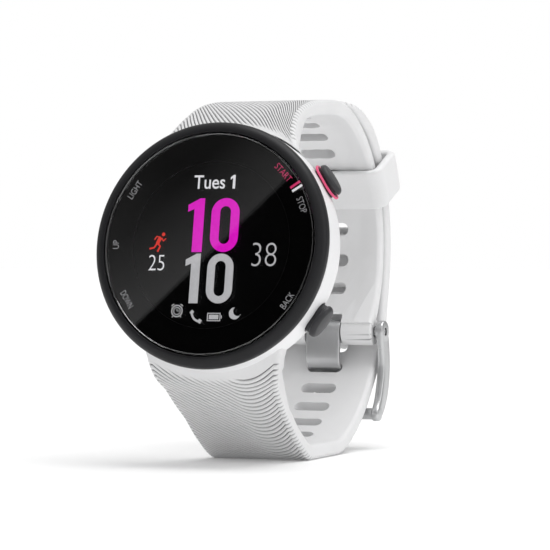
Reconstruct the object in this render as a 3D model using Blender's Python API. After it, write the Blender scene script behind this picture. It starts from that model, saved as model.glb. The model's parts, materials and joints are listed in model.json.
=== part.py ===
"""GPS running watch, standing closed on its strap.

World frame: +Z up, the face looks towards -Y and leans back, +X is 3 o'clock.
The origin is the middle of the strap's flat foot, on the floor.
Pieces of the head are children of an empty whose +Z is the face normal and
whose +Y is 12 o'clock; its origin is the centre of the bezel's outer edge.
"""

import math

import bmesh
import bpy
from mathutils import Matrix, Vector

MM = 0.001

# Stance of the closed watch: the flat foot's two ends are measured back from the bezel's centre.
HEAD_HEIGHT = 35.0 * MM
FOOT_FRONT = 21.0 * MM
FOOT_BACK = 33.0 * MM
FOOT_CREASE = 0.3 * MM
HEAD_FORWARD = (FOOT_FRONT + FOOT_BACK) / 2
FACE_LEAN = math.radians(10.2)

# Case.
CASE_RADIUS = 19.6 * MM
CASE_WALL = 2.4 * MM
CASE_BACK = 9.9 * MM
CASE_STRAIGHT = 3.9 * MM
BACK_TAPER = 2.4 * MM
BACK_RIM = 0.75 * MM
LEDGE_WIDTH = 3.25 * MM
LEDGE_THICKNESS = 1.0 * MM
COVER_THICKNESS = 1.0 * MM

# Bezel and lens.
BEZEL_RISE = 1.6 * MM
BEZEL_SKIRT = 0.3 * MM
BEZEL_FLARE = 0.05 * MM
BEZEL_WIDTH = 1.7 * MM
BEZEL_LEDGE = 1.55 * MM
LENS_THICKNESS = 0.95 * MM
SEAL_THICKNESS = 0.3 * MM
MASK_WIDTH = 2.8 * MM
DISPLAY_THICKNESS = 1.3 * MM
DISPLAY_MARGIN = 1.3 * MM

# Inner pieces.
CARRIER_WALL = 1.2 * MM
CARRIER_FLOOR = 0.8 * MM
BOARD_THICKNESS = 1.0 * MM
ANTENNA_WALL = 0.6 * MM
ANTENNA_HEIGHT = 1.5 * MM
CELL_SIZE = 17.0 * MM
CELL_CORNER = 1.5 * MM
MOTOR_RADIUS = 3.0 * MM
SENSOR_BOARD_RADIUS = 7.5 * MM
SENSOR_BOARD_THICKNESS = 0.5 * MM
SENSOR_ROOM = 1.0 * MM
WINDOW_RADIUS = 5.3 * MM
WINDOW_PROUD = 0.6 * MM
EMITTER_SIZE = 1.2 * MM
EMITTER_THICKNESS = 0.3 * MM
EMITTER_SPACING = 2.4 * MM
CONTACT_RADIUS = 0.5 * MM
CONTACT_PITCH = 1.9 * MM
CONTACT_ROW = 10.0 * MM
SCREW_EDGE = 1.6 * MM
SCREW_HEAD_RADIUS = 0.9 * MM
SCREW_HEAD_HEIGHT = 0.5 * MM
SCREW_SHANK_RADIUS = 0.45 * MM

# Buttons.
BUTTONS = {"start": 33, "back": -33, "light": 147, "up": 180, "down": 213}
BUTTON_SHARE = 0.39  # how far down the room between the main board and the ledge the buttons sit
CAP_LENGTH = 5.0 * MM
CAP_WIDTH = 3.0 * MM
CAP_PROUD = {
    "start": 1.8 * MM,
    "back": 1.7 * MM,
    "light": 0.8 * MM,
    "up": 0.8 * MM,
    "down": 0.9 * MM,
}
CAP_POCKET = 1.1 * MM
BUTTON_TRAVEL = 0.5 * MM
STEM_RADIUS = 0.6 * MM
SWITCH_LENGTH = 1.8 * MM
SWITCH_WIDTH = 3.0 * MM
SWITCH_SHARE = 0.53  # how much of that room's height a switch takes
RING_WALL = 0.4 * MM
RING_PROUD = 0.35 * MM
SEAL_CORD_RADIUS = 0.2 * MM

# Lugs and strap pins.
LUG_REACH = 0.7 * MM
LUG_DEPTH = 9.0 * MM
LUG_BOSS_RADIUS = 1.25 * MM
LUG_INNER_X = 7.2 * MM
LUG_THICKNESS = 2.0 * MM
PIN_RADIUS = 0.55 * MM

# Strap and the loop that it closes round the wrist.
STRAP_WIDTH = 18.0 * MM
STRAP_THICKNESS = 2.5 * MM
STRAP_EDGE = 0.55 * MM
TAIL_THICKNESS = 2.9 * MM
LOOP_CENTRE = (32.3 * MM, 0.2 * MM)
LOOP_RADIUS = 24.1 * MM
TAIL_GAP = 0.9 * MM
TAIL_END_ANGLE = 74
TIP_GAP = 0.4 * MM
SLOT_LENGTH = 6.4 * MM
SLOT_SHARE = 0.88  # slot width over strap thickness, so that the bent tongue clears a thicker strap
SLOT_PITCH = 4.85 * MM
UPPER_SLOT_ANGLES = (82, 70.5, 59, 47, 34.5, 21.5, 7.5, -7, -20.5)

# Buckle.
BAR_ANGLE = -38
BAR_OFFSET = 0.26 * MM
BAR_RADIUS = 0.75 * MM
BAR_TIP_RADIUS = 0.45 * MM
KNUCKLE_RADIUS = 2.4 * MM
KNUCKLE_INSET = 0.1 * MM
TONGUE_WIDTH = 6.2 * MM
TONGUE_THICKNESS = 0.8 * MM
TONGUE_RING_RADIUS = 2.1 * MM
FRAME_ARM = 1.4 * MM
FRAME_DEPTH = 3.2 * MM
FRAME_BAR_RADIUS = 1.0 * MM

# Keeper loop.
KEEPER_ANGLE = 28
KEEPER_LENGTH = 7.3 * MM
KEEPER_INNER_WALL = 1.3 * MM
KEEPER_OUTER_WALL = 1.6 * MM
KEEPER_SIDE_WALL = 1.5 * MM
KEEPER_CORNER = 2.2 * MM
KEEPER_LOOSENESS = 1.4 * MM

# Clearances.
FIT_GAP = 0.25 * MM
SEAT_GAP = 0.2 * MM
BORE_GAP = 0.25 * MM
STRAP_GAP = 0.3 * MM
FRAME_GAP = 0.5 * MM

# Derived radii and levels in the head's own frame.
INNER_RADIUS = CASE_RADIUS - CASE_WALL
BACK_RADIUS = CASE_RADIUS - BACK_TAPER
COVER_RADIUS = BACK_RADIUS - BACK_RIM - FIT_GAP
LENS_EDGE = CASE_RADIUS - BEZEL_WIDTH
LENS_RADIUS = LENS_EDGE - FIT_GAP
LENS_BOTTOM = BEZEL_RISE - LENS_THICKNESS
SEAL_LEVEL = LENS_BOTTOM - SEAL_THICKNESS - 0.1 * MM
LEDGE_RADIUS = LENS_EDGE - BEZEL_LEDGE
DISPLAY_WINDOW = LEDGE_RADIUS - FIT_GAP - MASK_WIDTH
DISPLAY_RADIUS = DISPLAY_WINDOW + DISPLAY_MARGIN
DISPLAY_TOP = SEAL_LEVEL - FIT_GAP
DISPLAY_BOTTOM = DISPLAY_TOP - DISPLAY_THICKNESS
CARRIER_BOTTOM = DISPLAY_BOTTOM - FIT_GAP - CARRIER_FLOOR
BOARD_TOP = CARRIER_BOTTOM - FIT_GAP
BOARD_BOTTOM = BOARD_TOP - BOARD_THICKNESS
COVER_TOP = -CASE_BACK + COVER_THICKNESS
LEDGE_BOTTOM = COVER_TOP + SEAL_THICKNESS + 2 * SEAT_GAP
LEDGE_TOP = LEDGE_BOTTOM + LEDGE_THICKNESS
SENSOR_BOTTOM = COVER_TOP + SENSOR_ROOM
SENSOR_TOP = SENSOR_BOTTOM + SENSOR_BOARD_THICKNESS
CELL_TOP = BOARD_BOTTOM - FIT_GAP
CELL_BOTTOM = SENSOR_TOP + FIT_GAP
MOTOR_THICKNESS = CELL_TOP - LEDGE_TOP - 3 * FIT_GAP
SCREW_CIRCLE = COVER_RADIUS - SCREW_EDGE
BUTTON_DEPTH = BUTTON_SHARE * (BOARD_BOTTOM - LEDGE_TOP) - BOARD_BOTTOM
SWITCH_HEIGHT = SWITCH_SHARE * (BOARD_BOTTOM - LEDGE_TOP)
LEDGE_INNER = INNER_RADIUS - LEDGE_WIDTH - BACK_RIM
SWITCH_FACE = INNER_RADIUS - 1.0 * MM
SEAL_MAJOR = STEM_RADIUS + SEAL_CORD_RADIUS + 0.1 * MM
SEAL_BORE = SEAL_MAJOR + SEAL_CORD_RADIUS + 0.1 * MM

# Derived places in the plane of the loop (y, z), measured from the bezel's centre.
BAR = (
    LOOP_CENTRE[0] + (LOOP_RADIUS + BAR_OFFSET) * math.cos(math.radians(BAR_ANGLE)),
    LOOP_CENTRE[1] + (LOOP_RADIUS + BAR_OFFSET) * math.sin(math.radians(BAR_ANGLE)),
)
TAIL_RADIUS = LOOP_RADIUS + TAIL_GAP + TAIL_THICKNESS
HALF_STRAP = STRAP_WIDTH / 2
SLOT_WIDTH = SLOT_SHARE * STRAP_THICKNESS
KNUCKLE_PASS = KNUCKLE_RADIUS + STRAP_GAP + STRAP_THICKNESS + 0.4 * MM


# ---------------------------------------------------------------- scene and materials


def clear_scene():
    for obj in list(bpy.data.objects):
        bpy.data.objects.remove(obj, do_unlink=True)


def make_material(name, colour, roughness, metallic=0.0):
    material = bpy.data.materials.new(name)
    material.use_nodes = True
    shader = material.node_tree.nodes["Principled BSDF"]
    shader.inputs["Base Color"].default_value = (*colour, 1.0)
    shader.inputs["Roughness"].default_value = roughness
    shader.inputs["Metallic"].default_value = metallic
    material.diffuse_color = (*colour, 1.0)
    return material


# A part's own material starts from one of these looks: colour, roughness, metallic.
LOOKS = {
    "white_silicone": ((0.82, 0.83, 0.84), 0.55, 0.0),
    "white_resin": ((0.86, 0.87, 0.88), 0.40, 0.0),
    "charcoal_resin": ((0.045, 0.05, 0.055), 0.38, 0.0),
    "black_resin": ((0.015, 0.015, 0.017), 0.45, 0.0),
    "lens_glass": ((0.01, 0.01, 0.012), 0.05, 0.0),
    "display": ((0.02, 0.02, 0.022), 0.20, 0.0),
    "seal_rubber": ((0.03, 0.03, 0.03), 0.75, 0.0),
    "pink_resin": ((0.79, 0.08, 0.19), 0.45, 0.0),
    "steel": ((0.55, 0.55, 0.56), 0.30, 1.0),
    "gold_plate": ((0.80, 0.60, 0.28), 0.30, 1.0),
    "circuit_board": ((0.02, 0.12, 0.06), 0.50, 0.0),
    "cell_wrap": ((0.35, 0.36, 0.38), 0.35, 0.6),
    "emitter": ((0.20, 0.75, 0.30), 0.30, 0.0),
}


def finish_object(obj, look, parent=None):
    obj.data.materials.append(make_material(obj.name + "_" + look, *LOOKS[look]))
    obj.parent = parent
    return obj


def object_from(name, bm):
    bmesh.ops.recalc_face_normals(bm, faces=bm.faces)
    mesh = bpy.data.meshes.new(name)
    bm.to_mesh(mesh)
    bm.free()
    mesh.shade_smooth()
    mesh.set_sharp_from_angle(angle=math.radians(35))
    obj = bpy.data.objects.new(name, mesh)
    bpy.context.scene.collection.objects.link(obj)
    return obj


def as_helper(obj, parent=None):
    obj.hide_render = True
    obj.display_type = "WIRE"
    obj.parent = parent
    return obj


def boolean(obj, other, operation="DIFFERENCE"):
    modifier = obj.modifiers.new(other.name, "BOOLEAN")
    modifier.operation = operation
    modifier.solver = "EXACT"
    modifier.object = other


def head_empty():
    head = bpy.data.objects.new("head_frame", None)
    head.location = (0.0, -HEAD_FORWARD, HEAD_HEIGHT)
    head.rotation_euler = (math.pi / 2 - FACE_LEAN, 0.0, 0.0)
    bpy.context.scene.collection.objects.link(head)
    return head


# ---------------------------------------------------------------- shape helpers


def turned(name, profile, steps=48):
    """A closed outline of (radius, level) pairs, turned once round the local Z axis."""
    bm = bmesh.new()
    verts = [bm.verts.new((radius, 0.0, level)) for radius, level in profile]
    edges = [bm.edges.new(pair) for pair in zip(verts, verts[1:] + verts[:1])]
    bmesh.ops.spin(
        bm, geom=verts + edges, angle=2 * math.pi, steps=steps, axis=(0, 0, 1), cent=(0, 0, 0),
        use_merge=True,
    )
    bmesh.ops.remove_doubles(bm, verts=bm.verts, dist=1e-6)
    bmesh.ops.dissolve_degenerate(bm, edges=bm.edges, dist=1e-7)
    return object_from(name, bm)


def disc(name, radius, bottom, top, hole=0.0, steps=48):
    if hole:
        return turned(name, [(hole, top), (radius, top), (radius, bottom), (hole, bottom)], steps)
    bm = bmesh.new()
    place = Matrix.Translation((0, 0, (top + bottom) / 2))
    bmesh.ops.create_cone(
        bm, cap_ends=True, segments=steps, radius1=radius, radius2=radius, depth=top - bottom, matrix=place
    )
    return object_from(name, bm)


def rod(name, radius, start, end, axis, steps=16):
    """A cylinder along a unit axis, from start to end measured along it."""
    bm = bmesh.new()
    turn = Vector(axis).to_track_quat("Z", "Y").to_matrix().to_4x4()
    place = turn @ Matrix.Translation((0, 0, (start + end) / 2))
    bmesh.ops.create_cone(
        bm, cap_ends=True, segments=steps, radius1=radius, radius2=radius, depth=end - start, matrix=place
    )
    return object_from(name, bm)


def block(name, low, high, bevel=0.0):
    bm = bmesh.new()
    size = [b - a for a, b in zip(low, high)]
    middle = [(a + b) / 2 for a, b in zip(low, high)]
    place = Matrix.Translation(middle) @ Matrix.Diagonal((*size, 1.0))
    bmesh.ops.create_cube(bm, size=1.0, matrix=place)
    if bevel:
        upright = [e for e in bm.edges if abs(e.verts[0].co.z - e.verts[1].co.z) > size[2] / 2]
        bmesh.ops.bevel(bm, geom=upright, offset=bevel, segments=3, affect="EDGES", profile=0.5)
    return object_from(name, bm)


def pill_outline(length, width, corner_steps=5):
    """Points round a slot shape: length along the first axis, with full round ends."""
    reach = (length - width) / 2
    points = []
    for side in (1, -1):
        for step in range(corner_steps + 1):
            angle = math.pi * step / corner_steps - side * math.pi / 2
            points.append((side * reach + math.cos(angle) * width / 2, math.sin(angle) * width / 2))
    return points


def prism(name, outline, place, depth, bevel=0.0):
    """An outline in the local XY plane, extruded along local +Z and then placed."""
    bm = bmesh.new()
    face = bm.faces.new([bm.verts.new((x, y, 0.0)) for x, y in outline])
    grown = bmesh.ops.extrude_face_region(bm, geom=[face])
    top = [item for item in grown["geom"] if isinstance(item, bmesh.types.BMVert)]
    bmesh.ops.translate(bm, verts=top, vec=(0, 0, depth))
    if bevel:
        rim = [e for e in bm.edges if all(v.co.z > depth / 2 for v in e.verts)]
        bmesh.ops.bevel(bm, geom=rim, offset=bevel, segments=2, affect="EDGES", profile=0.5)
    bmesh.ops.transform(bm, matrix=place, verts=bm.verts)
    return object_from(name, bm)


def loft(name, sections, closed=False):
    """Equal rings of points joined in order; the ends are capped unless the row closes on itself."""
    bm = bmesh.new()
    rings = [[bm.verts.new(point) for point in section] for section in sections]
    pairs = list(zip(rings, rings[1:]))
    if closed:
        pairs.append((rings[-1], rings[0]))
    for first, second in pairs:
        for i in range(len(first)):
            k = (i + 1) % len(first)
            bm.faces.new((first[i], first[k], second[k], second[i]))
    if not closed:
        bm.faces.new(rings[0])
        bm.faces.new(rings[-1])
    return object_from(name, bm)


# ---------------------------------------------------------------- path of the strap

HANDLE = 0.345  # share of the chord that makes a Bezier segment follow a gentle arc
STEP_LENGTH = 2.2 * MM


def head_point(reach, level):
    """(y, z) in the head's middle plane: reach towards 12 o'clock, level along the face normal."""
    y = reach * math.sin(FACE_LEAN) - level * math.cos(FACE_LEAN)
    z = reach * math.cos(FACE_LEAN) + level * math.sin(FACE_LEAN)
    return y, z


def loop_point(radius, angle):
    turn = math.radians(angle)
    return LOOP_CENTRE[0] + radius * math.cos(turn), LOOP_CENTRE[1] + radius * math.sin(turn)


def lug_node(side, beyond, level, slope, half, thickness):
    """A path node near a lug: beyond the case radius, at a level, sloping away from the face."""
    y, z = head_point(side * (CASE_RADIUS + beyond), level)
    lean = math.degrees(FACE_LEAN)
    heading = 90 - lean - slope if side > 0 else -90 - lean + slope
    return (y, z, heading, half, thickness)


def arc_nodes(radius, start, end, half, thickness, turning):
    """Nodes along the loop, less than 45 degrees apart, with even half width and thickness."""
    count = max(1, math.ceil(abs(end - start) / 40))
    nodes = []
    for i in range(count + 1):
        angle = start + (end - start) * i / count
        nodes.append((*loop_point(radius, angle), angle + 90 * turning, half, thickness))
    return nodes


def heading_vector(degrees):
    return Vector((math.cos(math.radians(degrees)), math.sin(math.radians(degrees))))


def follow(nodes, step_length=STEP_LENGTH):
    """Stations (point, direction, half width, thickness) along Bezier segments between nodes."""
    stations = []
    for i, (first, second) in enumerate(zip(nodes, nodes[1:])):
        p0, p3 = Vector(first[:2]), Vector(second[:2])
        chord = (p3 - p0).length
        p1 = p0 + heading_vector(first[2]) * chord * HANDLE
        p2 = p3 - heading_vector(second[2]) * chord * HANDLE
        count = max(1, round(chord / step_length))
        for k in range(0 if i == 0 else 1, count + 1):
            t = k / count
            s = 1 - t
            point = p0 * s**3 + p1 * 3 * s * s * t + p2 * 3 * s * t * t + p3 * t**3
            along = (p1 - p0) * s * s + (p2 - p1) * 2 * s * t + (p3 - p2) * t * t
            half = first[3] * s + second[3] * t
            thickness = first[4] * s + second[4] * t
            stations.append((point, along.normalized(), half, thickness))
    return stations


def band(name, stations, outward, edge, centred=False, offset_x=0.0):
    """A strip lofted along stations: its outer face on the path, or its middle when centred."""
    sections = []
    for point, along, half, thickness in stations:
        normal = Vector((along.y, -along.x)) * outward
        top = point + normal * (thickness / 2 if centred else 0.0)
        c = min(edge, thickness / 2.5, half / 2.5)
        ring = []
        for x, depth in (
            (-half + c, 0), (half - c, 0), (half, c), (half, thickness - c),
            (half - c, thickness), (c - half, thickness), (-half, thickness - c), (-half, c),
        ):
            place = top - normal * depth
            ring.append((offset_x + x, place.x - HEAD_FORWARD, place.y + HEAD_HEIGHT))
        sections.append(ring)
    return loft(name, sections)


def station_at(stations, distance, start=None):
    """The station nearest to a distance along the path, interpolated between its neighbours."""
    travelled = 0.0
    for first, second in zip(stations, stations[1:]):
        length = (second[0] - first[0]).length
        if travelled + length >= distance:
            t = (distance - travelled) / length
            return (first[0].lerp(second[0], t), first[1].lerp(second[1], t).normalized(), first[3])
        travelled += length
    return (stations[-1][0], stations[-1][1], stations[-1][3])


def distance_to(stations, target):
    """Distance along the path at which it passes nearest to a (y, z) point."""
    travelled, best = 0.0, (float("inf"), 0.0)
    for first, second in zip(stations, stations[1:]):
        step = second[0] - first[0]
        share = min(1.0, max(0.0, (Vector(target) - first[0]).dot(step) / step.length_squared))
        miss = (first[0] + step * share - Vector(target)).length
        best = min(best, (miss, travelled + step.length * share))
        travelled += step.length
    return best[1]


def slot_cutter(name, point, along, outward, thickness):
    """A pill-shaped hole straight through a strap, at a point on its outer face."""
    normal = Vector((along.y, -along.x)) * outward
    start = point + normal * thickness
    place = Matrix.Translation((0.0, start.x - HEAD_FORWARD, start.y + HEAD_HEIGHT)) @ Matrix((
        (1.0, 0.0, 0.0, 0.0),
        (0.0, along.x, -normal.x, 0.0),
        (0.0, along.y, -normal.y, 0.0),
        (0.0, 0.0, 0.0, 1.0),
    ))
    return as_helper(prism(name, pill_outline(SLOT_LENGTH, SLOT_WIDTH), place, 3 * thickness))


def upper_path():
    nodes = [
        lug_node(1, -6.6 * MM, -2.4 * MM, 5, HALF_STRAP + 3.9 * MM, 2.8 * MM),
        lug_node(1, -2.1 * MM, -3.4 * MM, 28, HALF_STRAP + 2.7 * MM, 3.4 * MM),
        lug_node(1, -0.1 * MM, -4.9 * MM, 43, HALF_STRAP + 1.75 * MM, 3.9 * MM),
        lug_node(1, 3.4 * MM, -8.6 * MM, 53, HALF_STRAP + 0.8 * MM, 3.8 * MM),
        lug_node(1, 5.5 * MM, -12.0 * MM, 64, HALF_STRAP + 0.6 * MM, STRAP_THICKNESS),
        (*loop_point(LOOP_RADIUS, 93), 3, HALF_STRAP + 0.3 * MM, STRAP_THICKNESS),
    ]
    return follow(nodes + arc_nodes(LOOP_RADIUS, 93, BAR_ANGLE, HALF_STRAP, STRAP_THICKNESS, -1)[1:])


def lower_path():
    bar_y, bar_z = BAR
    nodes = [
        lug_node(-1, -6.6 * MM, -2.5 * MM, 5, HALF_STRAP + 3.5 * MM, 2.8 * MM),
        lug_node(-1, -2.1 * MM, -3.1 * MM, 18, HALF_STRAP + 2.3 * MM, 3.4 * MM),
        lug_node(-1, 1.0 * MM, -5.0 * MM, 46, HALF_STRAP + 1.6 * MM, 3.9 * MM),
        lug_node(-1, 2.6 * MM, -7.65 * MM, 58, HALF_STRAP + 0.8 * MM, 3.8 * MM),
        lug_node(-1, 6.2 * MM, -14.2 * MM, 65, HALF_STRAP + 0.1 * MM, STRAP_THICKNESS),
        (FOOT_FRONT - 6.4 * MM, -HEAD_HEIGHT + 3.2 * MM, -31, HALF_STRAP, STRAP_THICKNESS),
        (FOOT_FRONT - FOOT_CREASE, -HEAD_HEIGHT + 0.15 * FOOT_CREASE, -14, HALF_STRAP, STRAP_THICKNESS),
        (FOOT_FRONT, -HEAD_HEIGHT, 0, HALF_STRAP, STRAP_THICKNESS),
        (FOOT_BACK, -HEAD_HEIGHT, 0, HALF_STRAP, STRAP_THICKNESS),
        (bar_y - 10.8 * MM, bar_z - 17.9 * MM, 27, HALF_STRAP, STRAP_THICKNESS),
        (bar_y - 5.3 * MM, bar_z - 14.3 * MM, 39, HALF_STRAP, STRAP_THICKNESS),
        (bar_y - 1.4 * MM, bar_z - 10.6 * MM, 47, HALF_STRAP, STRAP_THICKNESS),
        (bar_y + KNUCKLE_PASS * 0.875, bar_z - KNUCKLE_PASS * 0.485, 62, HALF_STRAP, STRAP_THICKNESS),
        (bar_y + KNUCKLE_PASS * 1.12, bar_z + KNUCKLE_PASS * 0.21, 75, HALF_STRAP, TAIL_THICKNESS),
    ]
    tail = arc_nodes(TAIL_RADIUS, -8, TAIL_END_ANGLE - 32, HALF_STRAP, TAIL_THICKNESS, 1)
    tip = []
    for before, lean, inset, thick in (
        (14, 9, 0.0, 2.2 * MM),
        (7, 11, 0.4 * MM, 1.6 * MM),
        (3, 9, 1.5 * MM, 1.3 * MM),
        (1, 5, 3.1 * MM, 1.15 * MM),
        (0, 5, 5.0 * MM, 1.05 * MM),
    ):
        angle = TAIL_END_ANGLE - before
        place = loop_point(LOOP_RADIUS + TIP_GAP + thick, angle)
        tip.append((*place, angle + 90 + lean, HALF_STRAP - inset, thick))
    return follow(nodes + tail + tip)


# ---------------------------------------------------------------- head: case, bezel, lens


def case_outline(gap=0.0):
    """The case's outer profile from the top edge to the back, grown by a gap."""
    return [
        (CASE_RADIUS + gap, -BEZEL_SKIRT - SEAT_GAP),
        (CASE_RADIUS + gap, -CASE_STRAIGHT),
        (CASE_RADIUS - 0.13 * BACK_TAPER + gap, -CASE_STRAIGHT - 0.35 * (CASE_BACK - CASE_STRAIGHT)),
        (CASE_RADIUS - 0.42 * BACK_TAPER + gap, -CASE_STRAIGHT - 0.7 * (CASE_BACK - CASE_STRAIGHT)),
        (BACK_RADIUS + gap, -CASE_BACK),
    ]


def case_keepout(name, head):
    """A solid of the case's outside plus the strap clearance, reaching past both ends."""
    outline = case_outline(STRAP_GAP)
    top = [(0.0, 3 * MM), (CASE_RADIUS + STRAP_GAP, 3 * MM)]
    below = (BACK_RADIUS + STRAP_GAP, -CASE_BACK - 1.5 * MM)
    return as_helper(turned(name, top + outline[1:] + [below, (0.0, below[1])], 64), head)


def lug_centre(side):
    return side * (CASE_RADIUS + LUG_REACH), -LUG_DEPTH


def lug_outline(side, grow=0.0, root=0.0):
    """The lug's side view (reach, level): a root inside the case wall and a round boss at the pin."""
    reach, level = lug_centre(side)
    radius = LUG_BOSS_RADIUS + grow
    boss = []
    for step in range(7):
        angle = math.radians(125 - 42 * step)
        boss.append((reach + side * radius * math.cos(angle), level + radius * math.sin(angle)))
    foot = side * (CASE_RADIUS - 3.75 * MM - root)
    foot_top = -CASE_STRAIGHT - 1.2 * MM + grow + 1.1 * root
    return [(foot, foot_top)] + boss + [(foot, level - 0.1 * MM - grow)]


def lug_plate(name, side, x_low, x_high, grow, head, root=0.0):
    """A lug, or the pocket for it, as its side view extruded along X."""
    outline = lug_outline(side, grow, root)
    place = Matrix(((0, 0, 1, x_low), (1, 0, 0, 0), (0, 1, 0, 0), (0, 0, 0, 1)))
    return as_helper(prism(name, outline, place, x_high - x_low), head)


def radial_place(angle, distance, level):
    """Local Z points outwards at a clock angle, local X runs round the case, local Y up the face normal."""
    turn = math.radians(angle)
    out = Vector((math.cos(turn), math.sin(turn), 0.0))
    around = Vector((-math.sin(turn), math.cos(turn), 0.0))
    matrix = Matrix((around, Vector((0, 0, 1)), out)).transposed().to_4x4()
    matrix.translation = out * distance + Vector((0, 0, level))
    return matrix


def make_case(head):
    inner = [
        (BACK_RADIUS - BACK_RIM, -CASE_BACK),
        (BACK_RADIUS - BACK_RIM, LEDGE_BOTTOM),
        (LEDGE_INNER, LEDGE_BOTTOM),
        (LEDGE_INNER, LEDGE_TOP),
        (INNER_RADIUS, LEDGE_TOP),
        (INNER_RADIUS, -BEZEL_SKIRT - SEAT_GAP),
    ]
    case = turned("case_body", case_outline() + inner, 72)
    for side, label in ((1, "top"), (-1, "bottom")):
        for x_low in (LUG_INNER_X, -LUG_INNER_X - LUG_THICKNESS):
            name = f"helper_lug_{label}_{'right' if x_low > 0 else 'left'}"
            boolean(case, lug_plate(name, side, x_low, x_low + LUG_THICKNESS, 0.0, head), "UNION")
        reach, level = lug_centre(side)
        bore = rod(f"cut_lug_bore_{label}", PIN_RADIUS + BORE_GAP, -15 * MM, 15 * MM, (1, 0, 0))
        bore.location = (0.0, reach, level)
        boolean(case, as_helper(bore, head))
    for label, angle in BUTTONS.items():
        pocket = pill_outline(CAP_LENGTH + 2 * FIT_GAP, CAP_WIDTH + 2 * FIT_GAP)
        place = radial_place(angle, CASE_RADIUS - CAP_POCKET, -BUTTON_DEPTH)
        boolean(case, as_helper(prism(f"cut_pocket_{label}", pocket, place, 5 * MM), head))
        bore = prism(
            f"cut_bore_{label}",
            [(SEAL_BORE * math.cos(a), SEAL_BORE * math.sin(a)) for a in
             (2 * math.pi * k / 16 for k in range(16))],
            radial_place(angle, INNER_RADIUS - 2 * MM, -BUTTON_DEPTH),
            5 * MM,
        )
        boolean(case, as_helper(bore, head))
    for index, (x, y) in enumerate(screw_places()):
        radius = SCREW_SHANK_RADIUS + BORE_GAP
        hole = rod(f"cut_case_screw_{index + 1}", radius, LEDGE_BOTTOM - MM, LEDGE_TOP + MM, (0, 0, 1), 12)
        hole.location = (x, y, 0.0)
        boolean(case, as_helper(hole, head))
    return finish_object(case, "white_resin", head)


def make_bezel(head):
    outer = [
        (CASE_RADIUS + BEZEL_FLARE, -BEZEL_SKIRT),
        (LEDGE_RADIUS, -BEZEL_SKIRT),
        (LEDGE_RADIUS, SEAL_LEVEL - 0.1 * MM),
        (LENS_EDGE, SEAL_LEVEL - 0.1 * MM),
        (LENS_EDGE, BEZEL_RISE - 0.1 * MM),
        (LENS_EDGE + 0.1 * MM, BEZEL_RISE),
        (LENS_EDGE + 0.35 * BEZEL_WIDTH, 0.86 * BEZEL_RISE),
        (LENS_EDGE + 0.7 * BEZEL_WIDTH, 0.55 * BEZEL_RISE),
        (LENS_EDGE + 0.93 * BEZEL_WIDTH, 0.2 * BEZEL_RISE),
        (CASE_RADIUS + BEZEL_FLARE, 0.0),
    ]
    finish_object(turned("bezel_ring", outer[::-1], 72), "charcoal_resin", head)


def make_lens_stack(head):
    lens = disc("lens_glass", LENS_RADIUS, LENS_BOTTOM, BEZEL_RISE, steps=64)
    finish_object(lens, "lens_glass", head)
    seal_top = SEAL_LEVEL + SEAL_THICKNESS
    gasket = disc("lens_gasket", LENS_RADIUS - SEAT_GAP, SEAL_LEVEL, seal_top, LEDGE_RADIUS + 0.2 * MM)
    finish_object(gasket, "seal_rubber", head)
    mask = disc("dial_mask", LEDGE_RADIUS - FIT_GAP, SEAL_LEVEL, seal_top, DISPLAY_WINDOW)
    finish_object(mask, "black_resin", head)
    display = disc("display_panel", DISPLAY_RADIUS, DISPLAY_BOTTOM, DISPLAY_TOP)
    finish_object(display, "display", head)
    wall_inner = DISPLAY_RADIUS + FIT_GAP
    floor_top = CARRIER_BOTTOM + CARRIER_FLOOR
    cup = [
        (0.0, floor_top),
        (wall_inner, floor_top),
        (wall_inner, DISPLAY_TOP),
        (wall_inner + CARRIER_WALL, DISPLAY_TOP),
        (wall_inner + CARRIER_WALL, CARRIER_BOTTOM),
        (0.0, CARRIER_BOTTOM),
    ]
    finish_object(turned("display_carrier", cup), "black_resin", head)


def make_inner_pieces(head):
    board = disc("main_board", INNER_RADIUS - 1.3 * MM, BOARD_BOTTOM, BOARD_TOP)
    finish_object(board, "circuit_board", head)
    antenna_outer = INNER_RADIUS - SEAT_GAP
    antenna_top = -BEZEL_SKIRT - 2 * SEAT_GAP
    antenna = disc(
        "antenna_ring", antenna_outer, antenna_top - ANTENNA_HEIGHT, antenna_top,
        antenna_outer - ANTENNA_WALL,
    )
    finish_object(antenna, "gold_plate", head)
    middle = -1.0 * MM
    low = (middle - CELL_SIZE / 2, -CELL_SIZE / 2, CELL_BOTTOM)
    high = (middle + CELL_SIZE / 2, CELL_SIZE / 2, CELL_TOP)
    finish_object(block("battery_cell", low, high, CELL_CORNER), "cell_wrap", head)
    motor = disc("vibration_motor", MOTOR_RADIUS, CELL_TOP - MOTOR_THICKNESS, CELL_TOP, steps=24)
    motor.location.x = middle + CELL_SIZE / 2 + MOTOR_RADIUS + FIT_GAP
    finish_object(motor, "steel", head)


def screw_places():
    return [
        (SCREW_CIRCLE * math.cos(math.radians(a)), SCREW_CIRCLE * math.sin(math.radians(a)))
        for a in (45, 135, 225, 315)
    ]


def contact_places():
    return [(CONTACT_PITCH * (k - 1.5), -CONTACT_ROW) for k in range(4)]


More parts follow.
